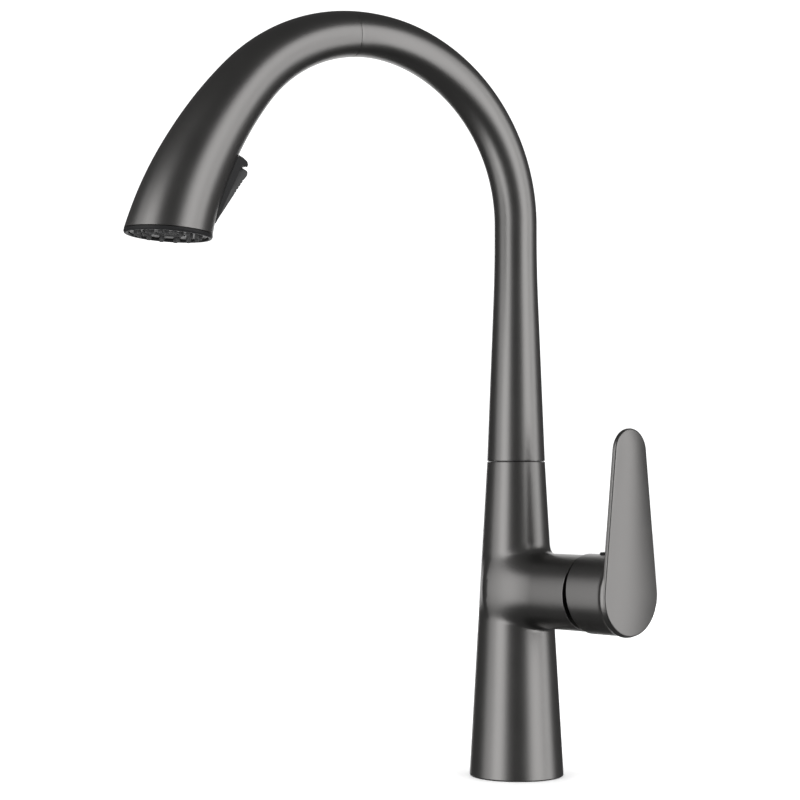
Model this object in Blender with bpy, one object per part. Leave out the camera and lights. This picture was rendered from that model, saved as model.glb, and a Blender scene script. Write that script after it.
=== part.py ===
"""Pull down kitchen faucet: tapered column, side lever on a short hub, high arched spout, docking spray head.

Frame: metres, +Z up, origin on the column's axis where the foot meets the deck.
+X runs along the hub, out through the lever. The spout's square position is over -Y.
"""
import math

import bmesh
import bpy
from mathutils import Matrix, Vector

MM = 0.001
GAP = 0.3 * MM              # between neighbouring pieces that touch on the real object

# Hose and water tubes, which the rest is built round
HOSE_R = 6.0 * MM
HOSE_BORE_R = HOSE_R * 2 / 3
TUBE_R = 3.0 * MM
TUBE_WALL = 0.8 * MM
OUTLET_X = HOSE_R + TUBE_R + 1.3 * MM   # mixed water's tube, beside the hose
NIPPLE_R = HOSE_R + 5.0 * MM            # the fixed pipe that the spout turns on

# Column
FOOT_R = 26.5 * MM          # outer radius on the deck
SEAM_Z = 176.7 * MM         # where the spout turns on the column
SEAM_R = NIPPLE_R + 5.35 * MM           # outer radius there
SEAM_GAP = 0.6 * MM         # the fine line between column and spout
WALL = 2.6 * MM
FOOT_EDGE = 0.7 * MM        # rounding of the foot's edge
SEAL_W = 1.8 * MM           # rubber ring let into the underside
SEAL_H = 1.5 * MM
WASHER_DEPTH = 2.0 * MM     # recess for the bearing washer at the seam
SHANK_R = OUTLET_X + TUBE_R + 3.7 * MM  # bore that takes the shank socket
SHANK_DEPTH = 20.0 * MM
SOCKET_WALL = 1.9 * MM

# Hub and handle, measured along +X from the column's axis
HUB_Z = 104.5 * MM
HUB_R = 20.9 * MM
HUB_BORE_R = HUB_R - 2.9 * MM
HUB_BORE_START = 3.0 * MM
SEAT_END = OUTLET_X + TUBE_R + 0.9 * MM # face of the valve seat, where the cartridge starts
PIVOT_X = SEAT_END + 27.8 * MM          # stem pin, the centre that the lever tips about
HUB_END = PIVOT_X + 11.3 * MM
HANDLE_R = HUB_R + 0.9 * MM
HANDLE_WALL = 2.2 * MM
RIM_TOP = HUB_END + 1.3 * MM            # the skirt's slanted rim, at its top and bottom
RIM_BOTTOM = HUB_END + 5.7 * MM
SKIRT_DEPTH = HUB_END + 8.7 * MM        # where the skirt's hollow ends
PADDLE_BACK = HUB_END + 28.3 * MM
PADDLE_FRONT = HUB_END + 31.0 * MM
PADDLE_CROWN = 1.5 * MM     # how far the front is domed
PADDLE_LOW_R = HANDLE_R + 0.2 * MM      # outline: two circles and their tangents
PADDLE_TIP_R = 13.0 * MM
PADDLE_LENGTH = 77.0 * MM   # between the circles' centres
SCREW_X = SKIRT_DEPTH + 4.0 * MM
SCREW_R = 2.3 * MM
PLUG_R = 3.0 * MM
PLUG_PROUD = 1.1 * MM

# Cartridge, from its seat outwards along +X
SEAL_T = 0.7 * MM
BASE_T = 3.2 * MM
DISC_T = 3.2 * MM
CARTRIDGE_R = HUB_BORE_R - 0.6 * MM
CARTRIDGE_WALL = 1.7 * MM
FIXED_DISC_R = CARTRIDGE_R - CARTRIDGE_WALL - 0.5 * MM
MOVING_DISC_R = 12.0 * MM
DRIVE_ARM = 9.0 * MM        # stem pin to the stem's ball
BALL_R = 2.7 * MM
NECK_R = 14.0 * MM
CARRIER_R = 11.4 * MM
CARRIER_BORE_R = 7.8 * MM
STEM_R = 4.2 * MM
STEM_SQUARE = 7.8 * MM
STEM_END = PIVOT_X + 29.0 * MM
PIN_R = 1.2 * MM
DOME_R = HUB_BORE_R + MM    # sphere about the stem pin that the lever's skirt clears
PORT_R = 2.6 * MM
PORTS = ((9.5 * MM, -6.0 * MM), (-9.5 * MM, -6.0 * MM), (0.0, -7.5 * MM))   # Y, height from the hub's axis

# Water ways in the column
TUBE_AT = {                 # X, Y
    "hot_tube": (OUTLET_X - 3.8 * MM, 9.5 * MM),
    "cold_tube": (OUTLET_X - 3.8 * MM, -9.5 * MM),
    "outlet_tube": (OUTLET_X, 0.0),
}
TUBE_TOP = HUB_Z - 11.5 * MM

# Swivel
NIPPLE_WALL = 2.4 * MM
NIPPLE_BORE_R = NIPPLE_R - NIPPLE_WALL
NIPPLE_THREAD_R = NIPPLE_R + MM
THREAD_L = 16.0 * MM
NIPPLE_TOP = SEAM_Z + 31.3 * MM
SLEEVE_R = NIPPLE_R + 2.3 * MM
SLEEVE_WALL = 1.0 * MM
SLEEVE_TOP = SEAM_Z + 27.0 * MM
BUSH_ZS = {"lower_bush": SEAM_Z + 2.3 * MM, "upper_bush": SEAM_Z + 17.3 * MM}
BUSH_HEIGHT = 5.0 * MM
STOP_Z = SEAM_Z + 12.3 * MM
STOP_R = 1.2 * MM
SWIVEL_LIMIT = math.radians(60)
SPOUT_TURN = math.radians(-12.4)    # how far the spout stands from square at rest

# Spout: straight up, then one arc over, then the head's own wider arc
SPOUT_WALL = 1.5 * MM
TUBE_END_R = HOSE_R + 6.0 * MM          # outer radius of the plain tube
CONE_TOP = SEAM_Z + 109.1 * MM
BEND_Z = CONE_TOP + 25.2 * MM
BEND_R = 98.0 * MM
BEND_END = math.radians(138.6)
HEAD_BEND_R = 208.0 * MM
HEAD_END = math.radians(165)
FLARE_START = math.radians(85.5)
FLARE_POWER = 1.45
DOCK = math.radians(96)     # where the head parts from the spout
DOCK_GAP = 0.35 * MM
COLLAR_START = math.radians(88)
COLLAR_WALL = 1.1 * MM      # between the tube's bore and the head's spigot

# Spray head
HEAD_WALL = 2.0 * MM
FACE_R = 22.9 * MM
FACE_TILT = math.radians(176)   # direction the face looks, from straight up
TILT_START = math.radians(150)
RING_H = 2.2 * MM
FLARE = FACE_R - TUBE_END_R # how much the head widens; what it holds narrows more where it widens more
PLATE_R = FACE_R - 2.582 * MM - FLARE / 50
PLATE_TOP = 4.5 * MM
PLATE_SUNK = 1.0 * MM
MAT_T = 1.7 * MM
NOZZLE_R = 1.25 * MM
NOZZLE_PROUD = 1.0 * MM
NOZZLE_CIRCLES = ((16.4 * MM, 14), (11.9 * MM, 9))     # radius, count
AERATOR_R = 8.3 * MM
SPIGOT_BORE_R = HOSE_R + 0.5 * MM
SPIGOT_R = SPIGOT_BORE_R + 1.4 * MM
SPIGOT_L = 11.0 * MM
CONNECTOR_L = 6.0 * MM
WATER_R = SPIGOT_R + 1.1 * MM
CHAMBER_R = TUBE_END_R - 8.63 * MM + 0.7 * FLARE
WATER_WALL = 2.0 * MM
BELL_R = FACE_R - 3.755 * MM - FLARE / 20   # the water body's wide end
BELL_START_R = BELL_R - 2.0 * MM
BELL_H = 11.77 * MM - 0.3 * FLARE

# Rocker, in its own frame: T down the head, W across it, N out of its surface towards the column
ROCKER_AT = math.radians(155.75)
WINDOW_TOP = -19.0 * MM
WINDOW_END = 17.0 * MM
WINDOW_W = 7.0 * MM         # half width
BEZEL_W = 8.3 * MM
BEZEL_RISE = 4.7 * MM       # height of its upper end
RIM_RISE = 1.6 * MM         # and of its rim beside the rocker
BEZEL_FLOOR = 6.0 * MM
BEZEL_WALL = 1.0 * MM
ROCKER_RISE = 7.6 * MM
ROCKER_PIN_R = 0.9 * MM
ROCKER_PIN_N = 0.8 * MM
ROCKER_PIN_CLEAR = 0.3 * MM
PLUNGER_T = -9.0 * MM
PLUNGER_R = 1.8 * MM
PLUNGER_TOP = 1.4 * MM
PLUNGER_L = 15.0 * MM
SPRING_R = 2.4 * MM
SPRING_WIRE = 0.4 * MM
SPRING_TURNS = 5

SIDES = 28                  # facets round a large outer piece
SMALL_SIDES = 16            # and round a small or inner one

X, Y, Z = Vector((1, 0, 0)), Vector((0, 1, 0)), Vector((0, 0, 1))
HUB_ORIGIN = Vector((0, 0, HUB_Z))

FINISHES = {                # base colour, metallic, roughness
    "gunmetal": ((0.17, 0.165, 0.16), 1.0, 0.32),
    "brass": ((0.66, 0.50, 0.25), 1.0, 0.35),
    "steel": ((0.60, 0.60, 0.60), 1.0, 0.30),
    "copper": ((0.70, 0.38, 0.26), 1.0, 0.35),
    "ceramic": ((0.88, 0.87, 0.84), 0.0, 0.20),
    "white_plastic": ((0.80, 0.80, 0.78), 0.0, 0.45),
    "dark_plastic": ((0.035, 0.035, 0.037), 0.0, 0.42),
    "rubber": ((0.025, 0.025, 0.025), 0.0, 0.75),
    "grey_rubber": ((0.22, 0.22, 0.22), 0.0, 0.65),
    "hose": ((0.10, 0.10, 0.105), 0.0, 0.60),
}


# ---------------------------------------------------------------- tools

def clear_scene():
    for thing in list(bpy.data.objects):
        bpy.data.objects.remove(thing, do_unlink=True)


def make_materials():
    made = {}
    for name, (colour, metallic, roughness) in FINISHES.items():
        material = bpy.data.materials.new(name)
        material.use_nodes = True
        shader = material.node_tree.nodes["Principled BSDF"]
        shader.inputs["Base Color"].default_value = (*colour, 1)
        shader.inputs["Metallic"].default_value = metallic
        shader.inputs["Roughness"].default_value = roughness
        made[name] = material
    return made


def link(name, mesh, finish, parent=None):
    thing = bpy.data.objects.new(name, mesh)
    bpy.context.collection.objects.link(thing)
    if finish:
        mesh.materials.append(MATERIALS[finish])
    thing.parent = parent
    return thing


def skin(name, rings, finish, parent=None, wrap=True):
    """One closed solid through a row of rings; without wrap, its first and last ring get caps."""
    mesh = bpy.data.meshes.new(name)
    work = bmesh.new()
    rows = [[work.verts.new(point) for point in ring] for ring in rings]
    pairs = list(zip(rows, rows[1:]))
    if wrap:
        pairs.append((rows[-1], rows[0]))
    else:
        work.faces.new(rows[0])
        work.faces.new(rows[-1])
    for low, high in pairs:
        for i in range(len(low)):
            j = (i + 1) % len(low)
            work.faces.new((low[i], low[j], high[j], high[i]))
    bmesh.ops.recalc_face_normals(work, faces=work.faces)
    work.to_mesh(mesh)
    work.free()
    mesh.shade_smooth()
    mesh.set_sharp_from_angle(angle=math.radians(30))
    return link(name, mesh, finish, parent)


def circle(centre, side, up, radius, sides):
    turns = [2 * math.pi * i / sides for i in range(sides)]
    return [centre + radius * (math.cos(t) * side + math.sin(t) * up) for t in turns]


def turned(name, profile, finish, origin=Vector(), axis=Z, parent=None, sides=SMALL_SIDES, wrap=True):
    """A turned piece: profile lists (radius, distance along axis). A ring wraps; a full piece has caps."""
    axis = axis.normalized()
    side = (Y if abs(axis.dot(Y)) < 0.5 else X).cross(axis).normalized()
    up = axis.cross(side)
    rings = [circle(origin + axis * height, side, up, radius, sides) for radius, height in profile]
    return skin(name, rings, finish, parent, wrap)


def ring(name, inner, outer, low, high, finish, **where):
    profile = [(inner, low), (outer, low), (outer, high), (inner, high)]
    return turned(name, profile, finish, **where)


def rod(name, radius, low, high, finish, **where):
    return turned(name, [(radius, low), (radius, high)], finish, wrap=False, **where)


def block(name, low, high, finish, frame=Matrix(), parent=None):
    corners = [(x, y) for x, y in ((low[0], low[1]), (high[0], low[1]), (high[0], high[1]), (low[0], high[1]))]
    rings = [[frame @ Vector((x, y, z)) for x, y in corners] for z in (low[2], high[2])]
    return skin(name, rings, finish, parent, wrap=False)


def extruded(name, outline, half_width, finish, frame, parent=None):
    """An outline in the frame's first and third directions, carried half_width each way along its second."""
    rings = [[frame @ Vector((a, w, c)) for a, c in outline] for w in (-half_width, half_width)]
    return skin(name, rings, finish, parent, wrap=False)


def use(target, tool, operation):
    """Cut with, or add, another shape."""
    tool.hide_render = True
    tool.display_type = "WIRE"
    step = target.modifiers.new(f"{operation.lower()}_{tool.name}", "BOOLEAN")
    step.operation = operation
    step.object = tool


def cut(target, tool):
    use(target, tool, "DIFFERENCE")


def add(target, tool):
    use(target, tool, "UNION")


def empty(name, location=(0, 0, 0), parent=None, turn=0.0):
    thing = bpy.data.objects.new(name, None)
    thing.location = location
    thing.rotation_euler.z = turn
    thing.parent = parent
    bpy.context.collection.objects.link(thing)
    return thing


# ---------------------------------------------------------------- the arch, in its own plane (X out, Z up)

def arch_point(phi):
    """Centre of the spout at phi, the angle that it has turned from straight up."""
    bend = min(phi, BEND_END)
    out = BEND_R * (1 - math.cos(bend))
    up = BEND_Z + BEND_R * math.sin(bend)
    if phi > BEND_END:
        out += HEAD_BEND_R * (math.cos(BEND_END) - math.cos(phi))
        up -= HEAD_BEND_R * (math.sin(BEND_END) - math.sin(phi))
    return Vector((out, 0, up))


def heading(phi):
    return Vector((math.sin(phi), 0, math.cos(phi)))


def inward(phi):
    """Across the spout, towards the inside of the arch."""
    return Vector((math.cos(phi), 0, -math.sin(phi)))


def run_from_flare(phi):
    run = BEND_R * (min(phi, BEND_END) - FLARE_START)
    return run + HEAD_BEND_R * max(phi - BEND_END, 0)


def arch_radius(phi):
    share = max(run_from_flare(phi), 0) / run_from_flare(HEAD_END)
    return TUBE_END_R + FLARE * share ** FLARE_POWER


def section_angle(phi):
    """The head's sections lean over towards its nearly level face."""
    share = max(phi - TILT_START, 0) / (HEAD_END - TILT_START)
    return phi + (FACE_TILT - HEAD_END) * share * share * (3 - 2 * share)


def face_point(height):
    """On the head's axis, a height above its face."""
    return arch_point(HEAD_END) - heading(FACE_TILT) * height


def angles(start, end, count):
    return [start + (end - start) * i / count for i in range(count + 1)]


def arch_ring(phi, radius, sides=SIDES):
    return circle(arch_point(phi), inward(section_angle(phi)), Y, radius, sides)


def swept(name, outer, inner, finish, parent=None):
    """A hollow piece from its outer rings, then its inner rings back."""
    return skin(name, outer + inner[::-1], finish, parent)


# ---------------------------------------------------------------- column and swivel

def column_radius(z):
    return FOOT_R + (SEAM_R - FOOT_R) * z / SEAM_Z


def body_casting():
    top = SEAM_Z - SEAM_GAP / 2
    washer_floor = top - WASHER_DEPTH
    recess_r = SEAM_R - 1.7 * MM
    outer = [(FOOT_R - FOOT_EDGE, 0), (column_radius(FOOT_EDGE), FOOT_EDGE), (column_radius(top), top)]
    casting = turned("body_casting", outer, "gunmetal", sides=SIDES, wrap=False)
    stub = rod("hub_stub", HUB_R, 0, HUB_END, None, origin=HUB_ORIGIN, axis=X, sides=SIDES)
    add(casting, stub)
    neck = top - WASHER_DEPTH - THREAD_L - 2 * MM
    cavity = [
        (SHANK_R, -MM), (SHANK_R, SHANK_DEPTH),
        (column_radius(SHANK_DEPTH + 4 * MM) - WALL, SHANK_DEPTH + 4 * MM),
        (column_radius(neck) - WALL, neck),
        (NIPPLE_THREAD_R + GAP, neck + 3 * MM), (NIPPLE_THREAD_R + GAP, washer_floor),
        (recess_r, washer_floor), (recess_r, top + MM),
    ]
    cut(casting, turned("column_cavity", cavity, None, sides=SIDES, wrap=False))
    cut(casting, rod("hub_bore", HUB_BORE_R, HUB_BORE_START, HUB_END + MM, None,
                     origin=HUB_ORIGIN, axis=X, sides=SIDES))
    seal_r = FOOT_R - 3.2 * MM
    half = SEAL_W / 2
    cut(casting, ring("seal_groove", seal_r - half - GAP, seal_r + half + GAP, -MM, SEAL_H + GAP, None))
    ring("foot_seal", seal_r - half, seal_r + half, 0, SEAL_H, "rubber")
    washer_r = NIPPLE_R + 2 * GAP
    washer = [
        (washer_r, washer_floor + GAP), (recess_r - GAP, washer_floor + GAP), (recess_r - GAP, top + 0.1 * MM),
        (SEAM_R - 0.5 * MM, top + 0.1 * MM), (SEAM_R - 0.5 * MM, SEAM_Z + 0.1 * MM), (washer_r, SEAM_Z + 0.1 * MM),
    ]
    turned("bearing_washer", washer, "dark_plastic", sides=SIDES)
    socket_r = SHANK_R - GAP
    ring("shank_socket", socket_r - SOCKET_WALL, socket_r, 0.4 * MM, SHANK_DEPTH - GAP, "brass")


def swivel():
    thread_top = SEAM_Z - SEAM_GAP / 2 - WASHER_DEPTH
    groove_low = SLEEVE_TOP + GAP
    groove_high = groove_low + 1.6 * MM
    groove_r = NIPPLE_R - 0.8 * MM
    profile = [
        (NIPPLE_BORE_R, thread_top - THREAD_L), (NIPPLE_THREAD_R, thread_top - THREAD_L),
        (NIPPLE_THREAD_R, thread_top), (NIPPLE_R, thread_top), (NIPPLE_R, groove_low),
        (groove_r, groove_low), (groove_r, groove_high), (NIPPLE_R, groove_high),
        (NIPPLE_R, NIPPLE_TOP), (NIPPLE_BORE_R, NIPPLE_TOP),
    ]
    nipple = turned("swivel_nipple", profile, "brass")
    stop = Vector((0, 0, STOP_Z))
    pin_end = SLEEVE_R - GAP
    cut(nipple, rod("stop_hole", STOP_R + GAP, NIPPLE_BORE_R - MM, NIPPLE_R + MM, None,
                    origin=stop, axis=Y, sides=12))
    rod("stop_pin", STOP_R, NIPPLE_BORE_R + GAP, pin_end, "steel", origin=stop, axis=Y, sides=12)
    for name, low in BUSH_ZS.items():
        ring(name, NIPPLE_R + GAP, SLEEVE_R - SLEEVE_WALL - GAP, low, low + BUSH_HEIGHT, "white_plastic")
    ring("retaining_ring", groove_r + 0.2 * MM, SLEEVE_R - 0.6 * MM, groove_low + GAP, groove_high - GAP, "steel")


def water_tubes():
    for name, (x, y) in TUBE_AT.items():
        ring(name, TUBE_R - TUBE_WALL, TUBE_R, MM, TUBE_TOP, "copper", origin=Vector((x, y, 0)), sides=16)


# ---------------------------------------------------------------- cartridge and handle

def port_holes(target, start, end, radius=PORT_R):
    for number, (y, z) in enumerate(PORTS):
        hole = rod(f"{target.name}_port_{number}", radius, start - MM, end + MM, None,
                   origin=HUB_ORIGIN + Vector((0, y, z)), axis=X, sides=14)
        cut(target, hole)


def valve_seat():
    """The seat closes the hub's bore, lets the hose past and takes the tubes' upper ends."""
    seat = rod("valve_seat", HUB_BORE_R - 0.5 * MM, HUB_BORE_START + 0.6 * MM, SEAT_END, "brass",
               origin=HUB_ORIGIN, axis=X)
    cut(seat, rod("hose_channel", HOSE_R + 0.9 * MM, HUB_Z - 30 * MM, HUB_Z + 30 * MM, None))
    for number, (x, y) in enumerate(TUBE_AT.values()):
        height = HUB_Z + PORTS[number][1]
        cut(seat, rod(f"tube_hole_{number}", TUBE_R + GAP, HUB_Z - 30 * MM, TUBE_TOP + GAP, None,
                      origin=Vector((x, y, 0)), sides=16))
        cut(seat, rod(f"rise_{number}", TUBE_R - TUBE_WALL, TUBE_TOP, height, None,
                      origin=Vector((x, y, 0)), sides=14))
        port = HUB_ORIGIN + Vector((0, PORTS[number][0], PORTS[number][1]))
        cut(seat, rod(f"seat_port_{number}", PORT_R, x, SEAT_END + MM, None, origin=port, axis=X, sides=14))


def cartridge():
    hub = {"origin": HUB_ORIGIN, "axis": X}
    seal = SEAT_END + GAP
    seal_plate = rod("port_seal", FIXED_DISC_R, seal, seal + SEAL_T, "rubber", **hub)
    port_holes(seal_plate, seal, seal + SEAL_T)
    base = seal + SEAL_T + GAP
    base_plate = rod("cartridge_base", CARTRIDGE_R, base, base + BASE_T, "white_plastic", **hub)
    port_holes(base_plate, base, base + BASE_T)
    fixed = base + BASE_T + GAP
    fixed_plate = rod("fixed_disc", FIXED_DISC_R, fixed, fixed + DISC_T, "ceramic", **hub)
    port_holes(fixed_plate, fixed, fixed + DISC_T)
    moving = fixed + DISC_T + GAP
    moving_plate = rod("moving_disc", MOVING_DISC_R, moving, moving + DISC_T, "ceramic", **hub)
    cut(moving_plate, rod("mixing_pocket", 7.5 * MM, moving - MM, moving + 1.8 * MM, None, **hub))
    disc_driver(moving + DISC_T + GAP, hub)
    housing_and_nut(fixed, hub)


def disc_driver(start, hub):
    ball_x = PIVOT_X - DRIVE_ARM
    plate = start + 3 * MM
    end = ball_x + 1.6 * MM
    socket_r = BALL_R + 0.5 * MM
    socket_floor = ball_x - BALL_R - 0.9 * MM
    flange_r, neck_r = MOVING_DISC_R - 0.4 * MM, 5.6 * MM
    profile = [(flange_r, start), (flange_r, plate), (neck_r, plate), (neck_r, end)]
    driver = turned("disc_driver", profile, "dark_plastic", wrap=False, **hub)
    cut(driver, rod("ball_socket", socket_r, socket_floor, end + MM, None, **hub))


def housing_and_nut(start, hub):
    shoulder = PIVOT_X - 6.7 * MM
    flange = PIVOT_X - 3.5 * MM
    neck_end = PIVOT_X + 4.5 * MM
    inner = CARTRIDGE_R - CARTRIDGE_WALL
    profile = [
        (inner, start), (CARTRIDGE_R, start), (CARTRIDGE_R, flange), (NECK_R, flange),
        (NECK_R, neck_end), (CARRIER_R + 0.4 * MM, neck_end), (CARRIER_R + 0.4 * MM, shoulder), (inner, shoulder),
    ]
    turned("cartridge_housing", profile, "white_plastic", **hub)
    nut = flange + GAP
    nut_r = HUB_BORE_R - GAP
    nut_end = PIVOT_X + 6.8 * MM
    nut_profile = [
        (NECK_R + GAP, nut), (nut_r, nut), (nut_r, nut_end), (NECK_R + 1.5 * MM, nut_end + 0.4 * MM),
        (NECK_R + GAP, nut_end),
    ]
    turned("bonnet_nut", nut_profile, "brass", **hub)
    edge, lip = math.acos((nut_end + 0.7 * MM - PIVOT_X) / DOME_R), math.radians(38)
    arc = angles(edge, lip, 5)
    shell = [(DOME_R * math.sin(t), PIVOT_X + DOME_R * math.cos(t)) for t in arc]
    under_r = DOME_R - 1.2 * MM
    lining = [(under_r * math.sin(t), PIVOT_X + under_r * math.cos(t)) for t in arc[1:]]
    seat = (under_r * math.sin(edge), nut_end + 0.7 * MM)
    turned("dome_ring", shell + lining[::-1] + [seat], "gunmetal", **hub)


def stem_parts():
    hub = {"origin": HUB_ORIGIN, "axis": X}
    pin_at = HUB_ORIGIN + X * PIVOT_X
    carrier = ring("stem_carrier", CARRIER_BORE_R, CARRIER_R, PIVOT_X - 6 * MM, PIVOT_X + 5 * MM,
                   "white_plastic", **hub)
    pin_half = CARRIER_R - 0.5 * MM
    cut(carrier, rod("carrier_pin_hole", PIN_R + GAP, -pin_half - GAP, pin_half + GAP, None,
                     origin=pin_at, axis=Y, sides=12))
    rod("stem_pin", PIN_R, -pin_half, pin_half, "steel", origin=pin_at, axis=Y, sides=12)
    ball_x = PIVOT_X - DRIVE_ARM
    round_tip = angles(math.radians(25), math.radians(130), 5)
    tip = [(BALL_R * math.sin(t), ball_x - BALL_R * math.cos(t)) for t in round_tip]
    profile = tip + [
        (2.0 * MM, ball_x + 2.6 * MM), (STEM_R, PIVOT_X - 3.6 * MM), (STEM_R, PIVOT_X + 12 * MM),
        (STEM_R - 0.6 * MM, STEM_END - MM),
    ]
    stem = turned("stem", profile, "steel", wrap=False, **hub)
    half = STEM_SQUARE / 2
    square = block("stem_square", (PIVOT_X + 14 * MM, -half, HUB_Z - half), (STEM_END, half, HUB_Z + half), None)
    add(stem, square)
    cut(stem, rod("stem_pin_hole", PIN_R + GAP, -10 * MM, 10 * MM, None, origin=pin_at, axis=Y, sides=12))


def paddle_outline(inset, x, steps=10):
    """Two circles, a large one on the hub's axis and a small one above it, and their tangents."""
    low, tip = PADDLE_LOW_R - inset, PADDLE_TIP_R - inset
    lean = math.asin((PADDLE_LOW_R - PADDLE_TIP_R) / PADDLE_LENGTH)
    points = []
    for turn in angles(lean, math.pi - lean, steps):
        points.append(Vector((x, tip * math.cos(turn), HUB_Z + PADDLE_LENGTH + tip * math.sin(turn))))
    for turn in angles(math.pi - lean, 2 * math.pi + lean, steps + 4):
        points.append(Vector((x, low * math.cos(turn), HUB_Z + low * math.sin(turn))))
    return points


def handle():
    hub = {"origin": HUB_ORIGIN, "axis": X}
    body = rod("handle", HANDLE_R, RIM_TOP - 2 * MM, PADDLE_FRONT - MM, "gunmetal", sides=SIDES, **hub)
    rims = [(0.9 * MM, PADDLE_BACK), (0.0, PADDLE_BACK + 0.9 * MM), (0.0, PADDLE_FRONT)]
    crown = [(0.7 * MM, 0.42), (3.0 * MM, 0.72), (6.5 * MM, 0.92), (11.0 * MM, 1.0)]
    rims += [(inset, PADDLE_FRONT + PADDLE_CROWN * share) for inset, share in crown]
    paddle = skin("paddle", [paddle_outline(inset, x) for inset, x in rims], None, wrap=False)
    add(body, paddle)
    rim_lean = math.atan2(RIM_BOTTOM - RIM_TOP, 2 * HANDLE_R)
    rim_at = HUB_ORIGIN + X * (RIM_TOP + RIM_BOTTOM) / 2
    rim_frame = Matrix.Translation(rim_at) @ Matrix.Rotation(-rim_lean, 4, "Y")
    cut(body, block("rim_cut", (-20 * MM, -30 * MM, -30 * MM), (0, 30 * MM, 30 * MM), None, rim_frame))
    cut(body, rod("skirt_hollow", HANDLE_R - HANDLE_WALL, RIM_TOP - 4 * MM, SKIRT_DEPTH, None,
                  sides=SIDES, **hub))
    half = STEM_SQUARE / 2 + GAP
    cut(body, block("stem_socket", (SKIRT_DEPTH - MM, -half, HUB_Z - half),
                    (STEM_END + GAP, half, HUB_Z + half), None))
    above_stem = Vector((SCREW_X, 0, HUB_Z))
    cut(body, rod("screw_hole", SCREW_R + GAP, 0, HANDLE_R + MM, None, origin=above_stem, sides=16))
    plug_low = HANDLE_R - 4.5 * MM
    cut(body, rod("plug_hole", PLUG_R + GAP, plug_low - GAP, HANDLE_R + 2 * MM, None,
                  origin=above_stem, sides=20))
    screw_low = STEM_SQUARE / 2 + GAP
    screw = rod("grub_screw", SCREW_R, screw_low, screw_low + 8 * MM, "steel", origin=above_stem, sides=16)
    cut(screw, rod("hex_socket", 1.25 * MM, screw_low + 4 * MM, screw_low + 9 * MM, None,
                   origin=above_stem, sides=6))
    plug_top = HANDLE_R + PLUG_PROUD
    plug_profile = [(PLUG_R, plug_low), (PLUG_R, plug_top - 0.4 * MM), (PLUG_R - 0.5 * MM, plug_top)]
    turned("screw_plug", plug_profile, "dark_plastic", origin=above_stem, sides=20, wrap=False)


# ---------------------------------------------------------------- spout

def level_ring(z, radius, sides=SIDES):
    return circle(Z * z, X, Y, radius, sides)


def spout_shell(plane):
    low = SEAM_Z + SEAM_GAP / 2
    upright = ((low, SEAM_R), (CONE_TOP, TUBE_END_R), (BEND_Z, TUBE_END_R))
    bend = angles(0, DOCK, 12)[1:]
    outer = [level_ring(z, radius) for z, radius in upright]
    outer += [arch_ring(phi, arch_radius(phi)) for phi in bend]
    inner = [level_ring(z, radius - SPOUT_WALL) for z, radius in upright]
    inner += [arch_ring(phi, TUBE_END_R - SPOUT_WALL) for phi in bend]
    swept("spout_shell", outer, inner, "gunmetal", plane)


def swivel_sleeve(plane):
    low = SEAM_Z + SEAM_GAP / 2
    inner = SLEEVE_R - SLEEVE_WALL
    flange_r = SEAM_R - SPOUT_WALL - 2 * GAP
    profile = [
        (inner, low), (flange_r, low), (flange_r - 0.1 * MM, low + 1.6 * MM), (SLEEVE_R, low + 1.6 * MM),
        (SLEEVE_R, SLEEVE_TOP), (inner, SLEEVE_TOP),
    ]
    sleeve = turned("swivel_sleeve", profile, "brass", parent=plane)
    window_half = SWIVEL_LIMIT + math.asin((STOP_R + GAP) / inner)
    slot = []
    for radius in (inner - MM, SLEEVE_R + MM):
        for z in (STOP_Z - STOP_R - GAP, STOP_Z + STOP_R + GAP):
            slot.append((radius, z))
    order = (slot[0], slot[2], slot[3], slot[1])
    rings = []
    for turn in angles(math.pi - window_half, math.pi + window_half, 12):
        rings.append([Vector((r * math.cos(turn), r * math.sin(turn), z)) for r, z in order])
    cut(sleeve, skin("stop_window", rings, None, plane, wrap=False))


def docking_collar(plane):
    outer_r = TUBE_END_R - SPOUT_WALL - GAP
    steps = (COLLAR_START, DOCK - DOCK_GAP / BEND_R)
    outer = [arch_ring(phi, outer_r, SMALL_SIDES) for phi in steps]
    inner = [arch_ring(phi, outer_r - COLLAR_WALL, SMALL_SIDES) for phi in steps]
    swept("docking_collar", outer, inner, "white_plastic", plane)


def dock_frame_point(run):
    """On the straight line through the dock, a run past it."""
    return arch_point(DOCK) + heading(DOCK) * run


def spray_hose(plane):
    """Straight up the column's axis, round the arch, then straight into the head's spigot."""
    sides = 12
    bend = angles(0, COLLAR_START - math.radians(2), 10)[1:]
    outer, inner = [], []
    for radius, rings in ((HOSE_R, outer), (HOSE_BORE_R, inner)):
        rings += [level_ring(z, radius, sides) for z in (MM, BEND_Z / 2, BEND_Z)]
        rings += [arch_ring(phi, radius, sides) for phi in bend]
        for run in (-SPIGOT_L + 3 * MM, -GAP):
            rings.append(circle(dock_frame_point(run), inward(DOCK), Y, radius, sides))
    swept("spray_hose", outer, inner, "hose", plane)


# ---------------------------------------------------------------- spray head

def head_stations():
    """Centre, section direction and outer radius from the dock to just above the face ring."""
    rows = []
    for phi in angles(DOCK + DOCK_GAP / BEND_R, math.radians(161), 10):
        rows.append((arch_point(phi), inward(section_angle(phi)), arch_radius(phi)))
    rows.append((face_point(RING_H + GAP), inward(FACE_TILT), FACE_R - 0.15 * MM))
    return rows


def head_shell(plane):
    rows = head_stations()
    outer = [circle(centre, side, Y, radius, SIDES) for centre, side, radius in rows]
    inner = [circle(centre, side, Y, radius - HEAD_WALL, SIDES) for centre, side, radius in rows]
    shell = swept("head_shell", outer, inner, "gunmetal", plane)
    frame = rocker_frame()
    low = (WINDOW_TOP, -WINDOW_W, -9 * MM)
    high = (WINDOW_END, WINDOW_W, 4 * MM)
    cut(shell, block("rocker_window", low, high, None, frame, plane))


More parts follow.
